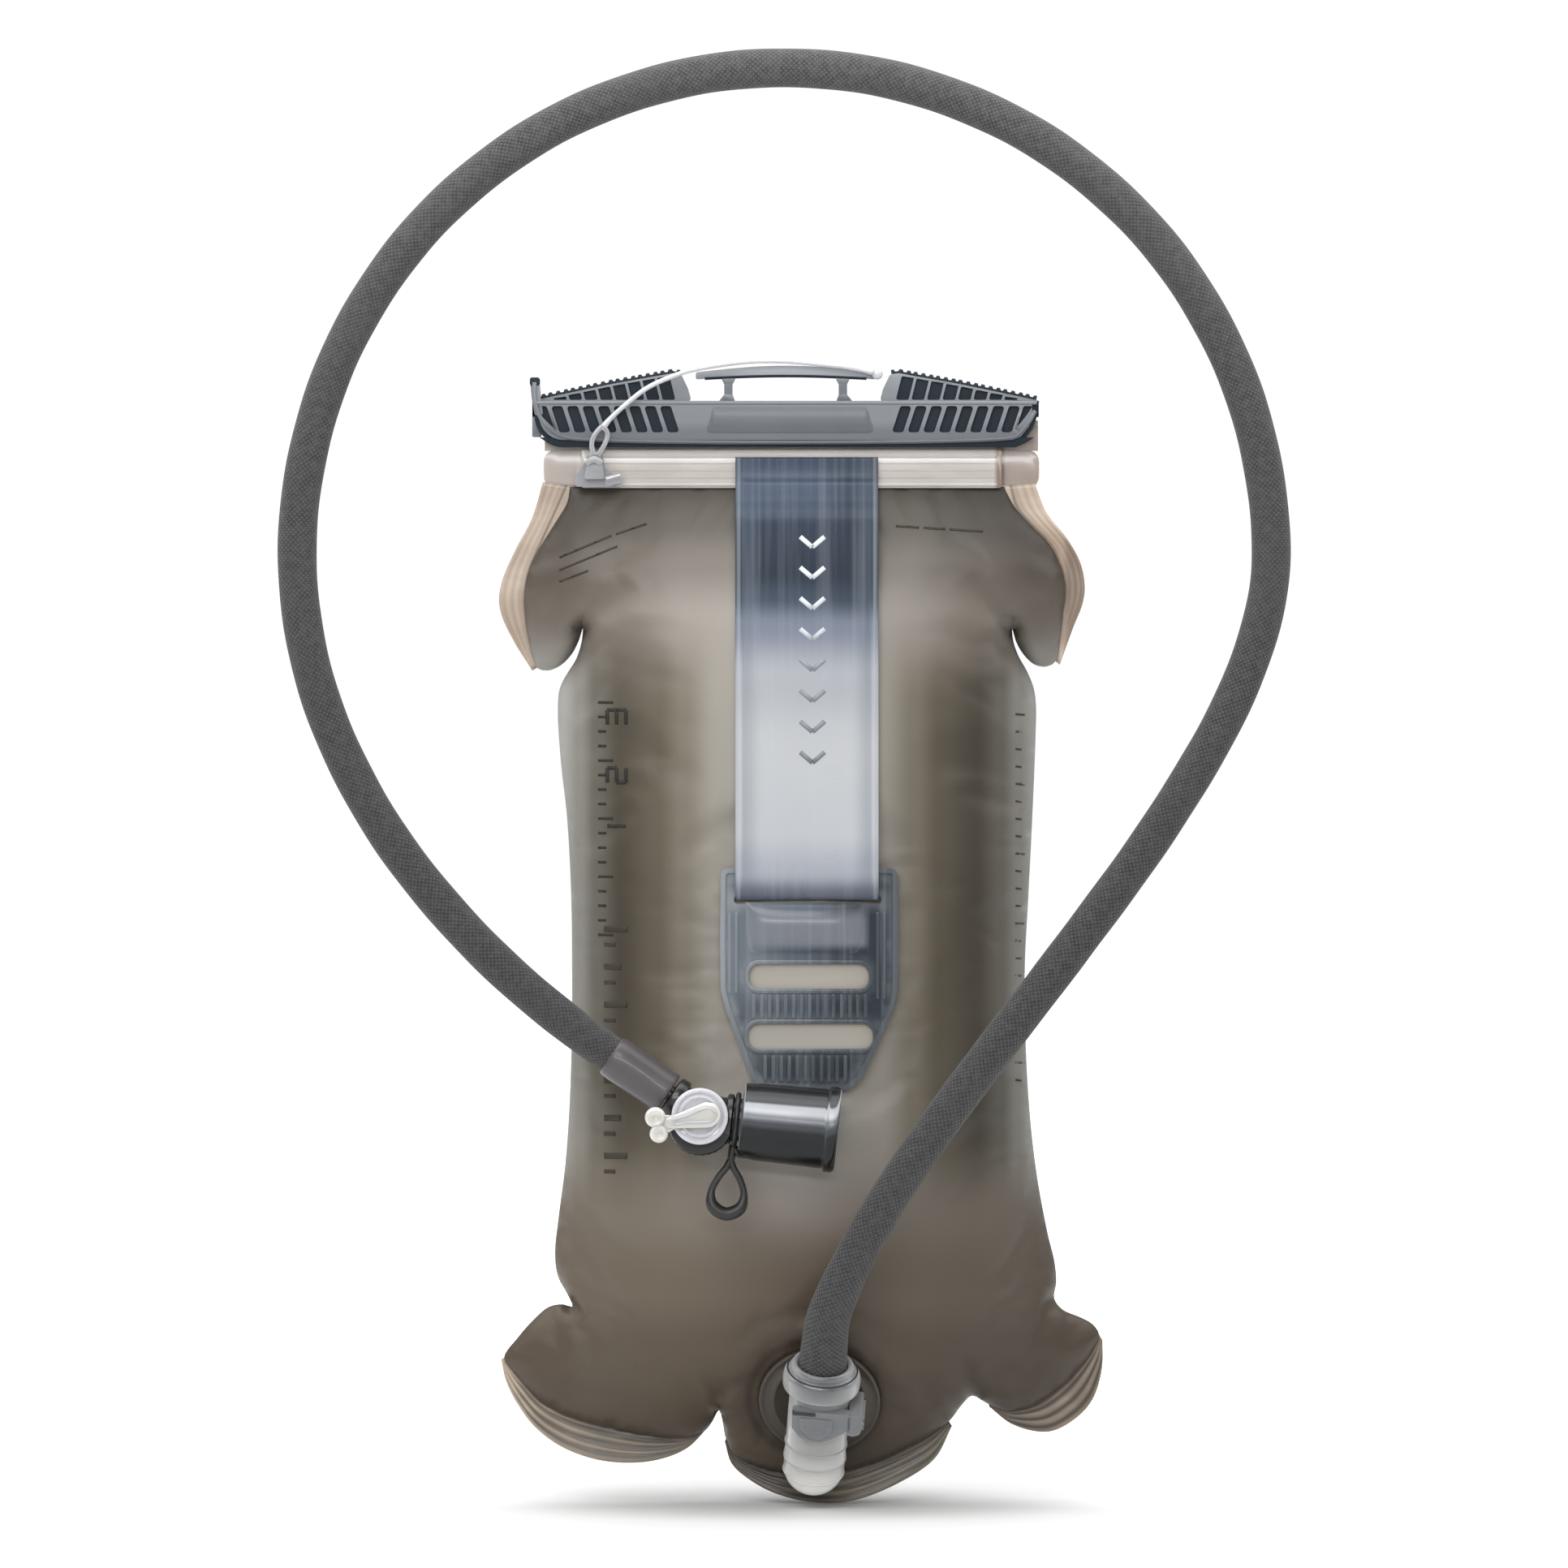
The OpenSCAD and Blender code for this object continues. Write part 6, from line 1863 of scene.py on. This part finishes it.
plug = build_plug(plug_mat, gap_mat)
seal_bar = build_bar((bar_mat, bar_dark_mat))
cord = build_cord(cord_mat)
valve = build_valve(valve_mat)
dial = build_dial((dial_mat, lobe_mat))
cover = build_cover(cover_mat)
bite = build_mouthpiece(bite_mat)
loop = build_cover_tether(loop_mat)
link = build_link(loop_mat)

path, run = hose_path()
# the sleeve flares over the plug and narrows into the cuff
hose_r = SLEEVE_R + 1.55 * np.exp(-((run / 34.0) ** 2)) - 0.35 * ramp(run[-1] - 60, run[-1], run)
top_ring = int(np.argmax(path[:, 2]))
(hose_right, hose_left), tangents = hose_pieces(top_ring, path, run, sleeve_mat, hose_r)
cuff_p = [(6.2, 13.2), (7.2, 13.2), (7.55, 13.7), (7.6, 15.0), (7.35, 16.4), (7.45, 24.0), (7.6, 32.0),
    (7.45, 35.6), (7.0, 36.8), (6.3, 37.0), (6.2, 13.2)]
cuff = sharp(lathe("cuff_sleeve", cuff_p, HOSE_END, cuff_mat, 56, "x"), 60)

# piece, the body it rides on (None where it lies between two), its slot, and the CAD nodes it stands for
PIECES = [(bag_front, "bag", "film", "bag_film_front"), (bag_back, "bag", "film_back", "bag_film_back"),
    (margins[0], "bag", "seam", "shoulder_seam_left"), (margins[1], "bag", "seam", "shoulder_seam_right"),
    (margins[2], "bag", "seam"), (margins[3], "bag", "seam", "bottom_seam"), (margins[4], "bag", "seam"),
    (strap, "bag", "strap", "handle_strap"), (plate_body, "bag", "plate", "strap_ladder_plate"),
    (plate_pads, "bag", "plate"), (scale_marks, "bag", "film"), (faint_marks, "bag", "film"),
    (arrows, "bag", "strap"), (strip_front, "bag", "strip", "mouth_strip_front"),
    (strip_back, "bag", "strip", "mouth_strip_back"), (clip_tab, "bag", "cord", "tether_clip"),
    (port_shell, "bag", "port", "port_body"), (flange_disc, "bag", "flange", "port_flange"),
    (seal_bar, "slider", "bar", "seal_bar"), (latch, "button", "button", "release_button"),
    (plug, "plug", "port", "plug_body"), (cuff, "hose_end", "cuff", "hose_cuff_upper"),
    (valve, "valve", "valve", "valve_body"), (bite, "valve", "bite", "bite_mouthpiece"),
    (loop, "valve", "bite", "cover_tether"), (dial, "lever", "dial", "shutoff_lever"),
    (cover, "cover", "cover", "dust_cover"), (cord, None, "cord", "tether_cord"), (link, None, "bite"),
    (hose_right, None, "sleeve", "hose_sleeve_lower", "hose_tube_lower", "hose_sleeve_arch",
        "hose_tube_arch"), (hose_left, None, "sleeve", "hose_sleeve_upper", "hose_tube_upper")]
for piece, body, slot, *nodes in PIECES:
    if body:
        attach(piece, body)
    if nodes:
        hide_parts(*nodes)


def bend(obj, joint):
    """Bakes a length of hose into its place; the joint is not used."""
    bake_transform(obj)


bend(hose_right, "hose_swing")
bend(hose_left, "hose_lift")
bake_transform(cord)
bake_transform(link)

# CAD nodes that stay inside the pieces keep their own meshes
for names, mat in ((("poppet_spring", "button_spring"), steel_mat),
        (("plug_o_ring", "core_o_rings"), rubber_mat), (("port_poppet", "shutoff_core"), lobe_mat)):
    for name in names:
        NODES[name].data.materials.clear()
        NODES[name].data.materials.append(mat)

# ---------------------------------------------------------------- floor, light, camera
FLOOR = -384.4
sweep = [(-20000, FLOOR - 40), (-600, FLOOR - 40), (0, FLOOR), (300, FLOOR + 20), (20000, FLOOR + 20)]
verts = [(x, y, z) for y, z in sweep for x in (-20000, 20000)]
faces = [(2 * i, 2 * i + 1, 2 * i + 3, 2 * i + 2) for i in range(len(sweep) - 1)]
floor = make("floor", verts, faces, floor_material(), closed=False)


def area_light(name, at, to, size, power, color=(1, 1, 1), size_y=None):
    data = bpy.data.lights.new(name, "AREA")
    data.shape = "RECTANGLE"
    data.size, data.size_y = size, size_y or size
    data.energy, data.color = power, color
    obj = bpy.data.objects.new(name, data)
    bpy.context.scene.collection.objects.link(obj)
    obj.location = at
    obj.rotation_euler = (Vector(to) - Vector(at)).to_track_quat("-Z", "Y").to_euler()
    return obj


centre = (0.0, 0.0, -0.15)
area_light("key", (-0.7, -2.3, 1.35), centre, 2.2, 30, size_y=0.9)
area_light("fill", (2.0, -1.8, 0.3), centre, 1.0, 3)
area_light("top", (0.0, 0.1, 2.2), centre, 2.0, 13)
area_light("strip", (-0.2, -2.4, 0.36), centre, 2.0, 15, size_y=0.15)
area_light("back", (0.0, 0.65, 0.9), (0, 1.3, 0.2), 2.4, 30)
SKY_SEEN, SKY_LIGHT = 1.04, 0.36  # the sky's strength to the camera, and as a light
world = bpy.data.worlds.new("studio")
world.use_nodes = True
world.node_tree.nodes["Background"].inputs[0].default_value = (1, 1, 1, 1)
sky = world.node_tree
ray = sky.nodes.new("ShaderNodeLightPath")
bright = sky.nodes.new("ShaderNodeMath")
bright.operation = "MULTIPLY_ADD"
bright.inputs[1].default_value = SKY_SEEN - SKY_LIGHT
bright.inputs[2].default_value = SKY_LIGHT
sky.links.new(ray.outputs["Is Camera Ray"], bright.inputs[0])
sky.links.new(bright.outputs[0], sky.nodes["Background"].inputs[1])
bpy.context.scene.world = world
bpy.context.scene.view_settings.view_transform = "Standard"

VIEW_FROM, VIEW_WIDTH = 8000.0, 541.0  # mm; the width is that of the picture at the bag
eye = bpy.data.cameras.new("camera")
eye.sensor_width = 36
eye.lens = eye.sensor_width * VIEW_FROM / VIEW_WIDTH
camera = bpy.data.objects.new("camera", eye)
bpy.context.scene.collection.objects.link(camera)
camera.location = (-0.56 * MM, -VIEW_FROM * MM, -136.1 * MM)
camera.rotation_euler = (math.pi / 2, 0, 0)
bpy.context.scene.camera = camera
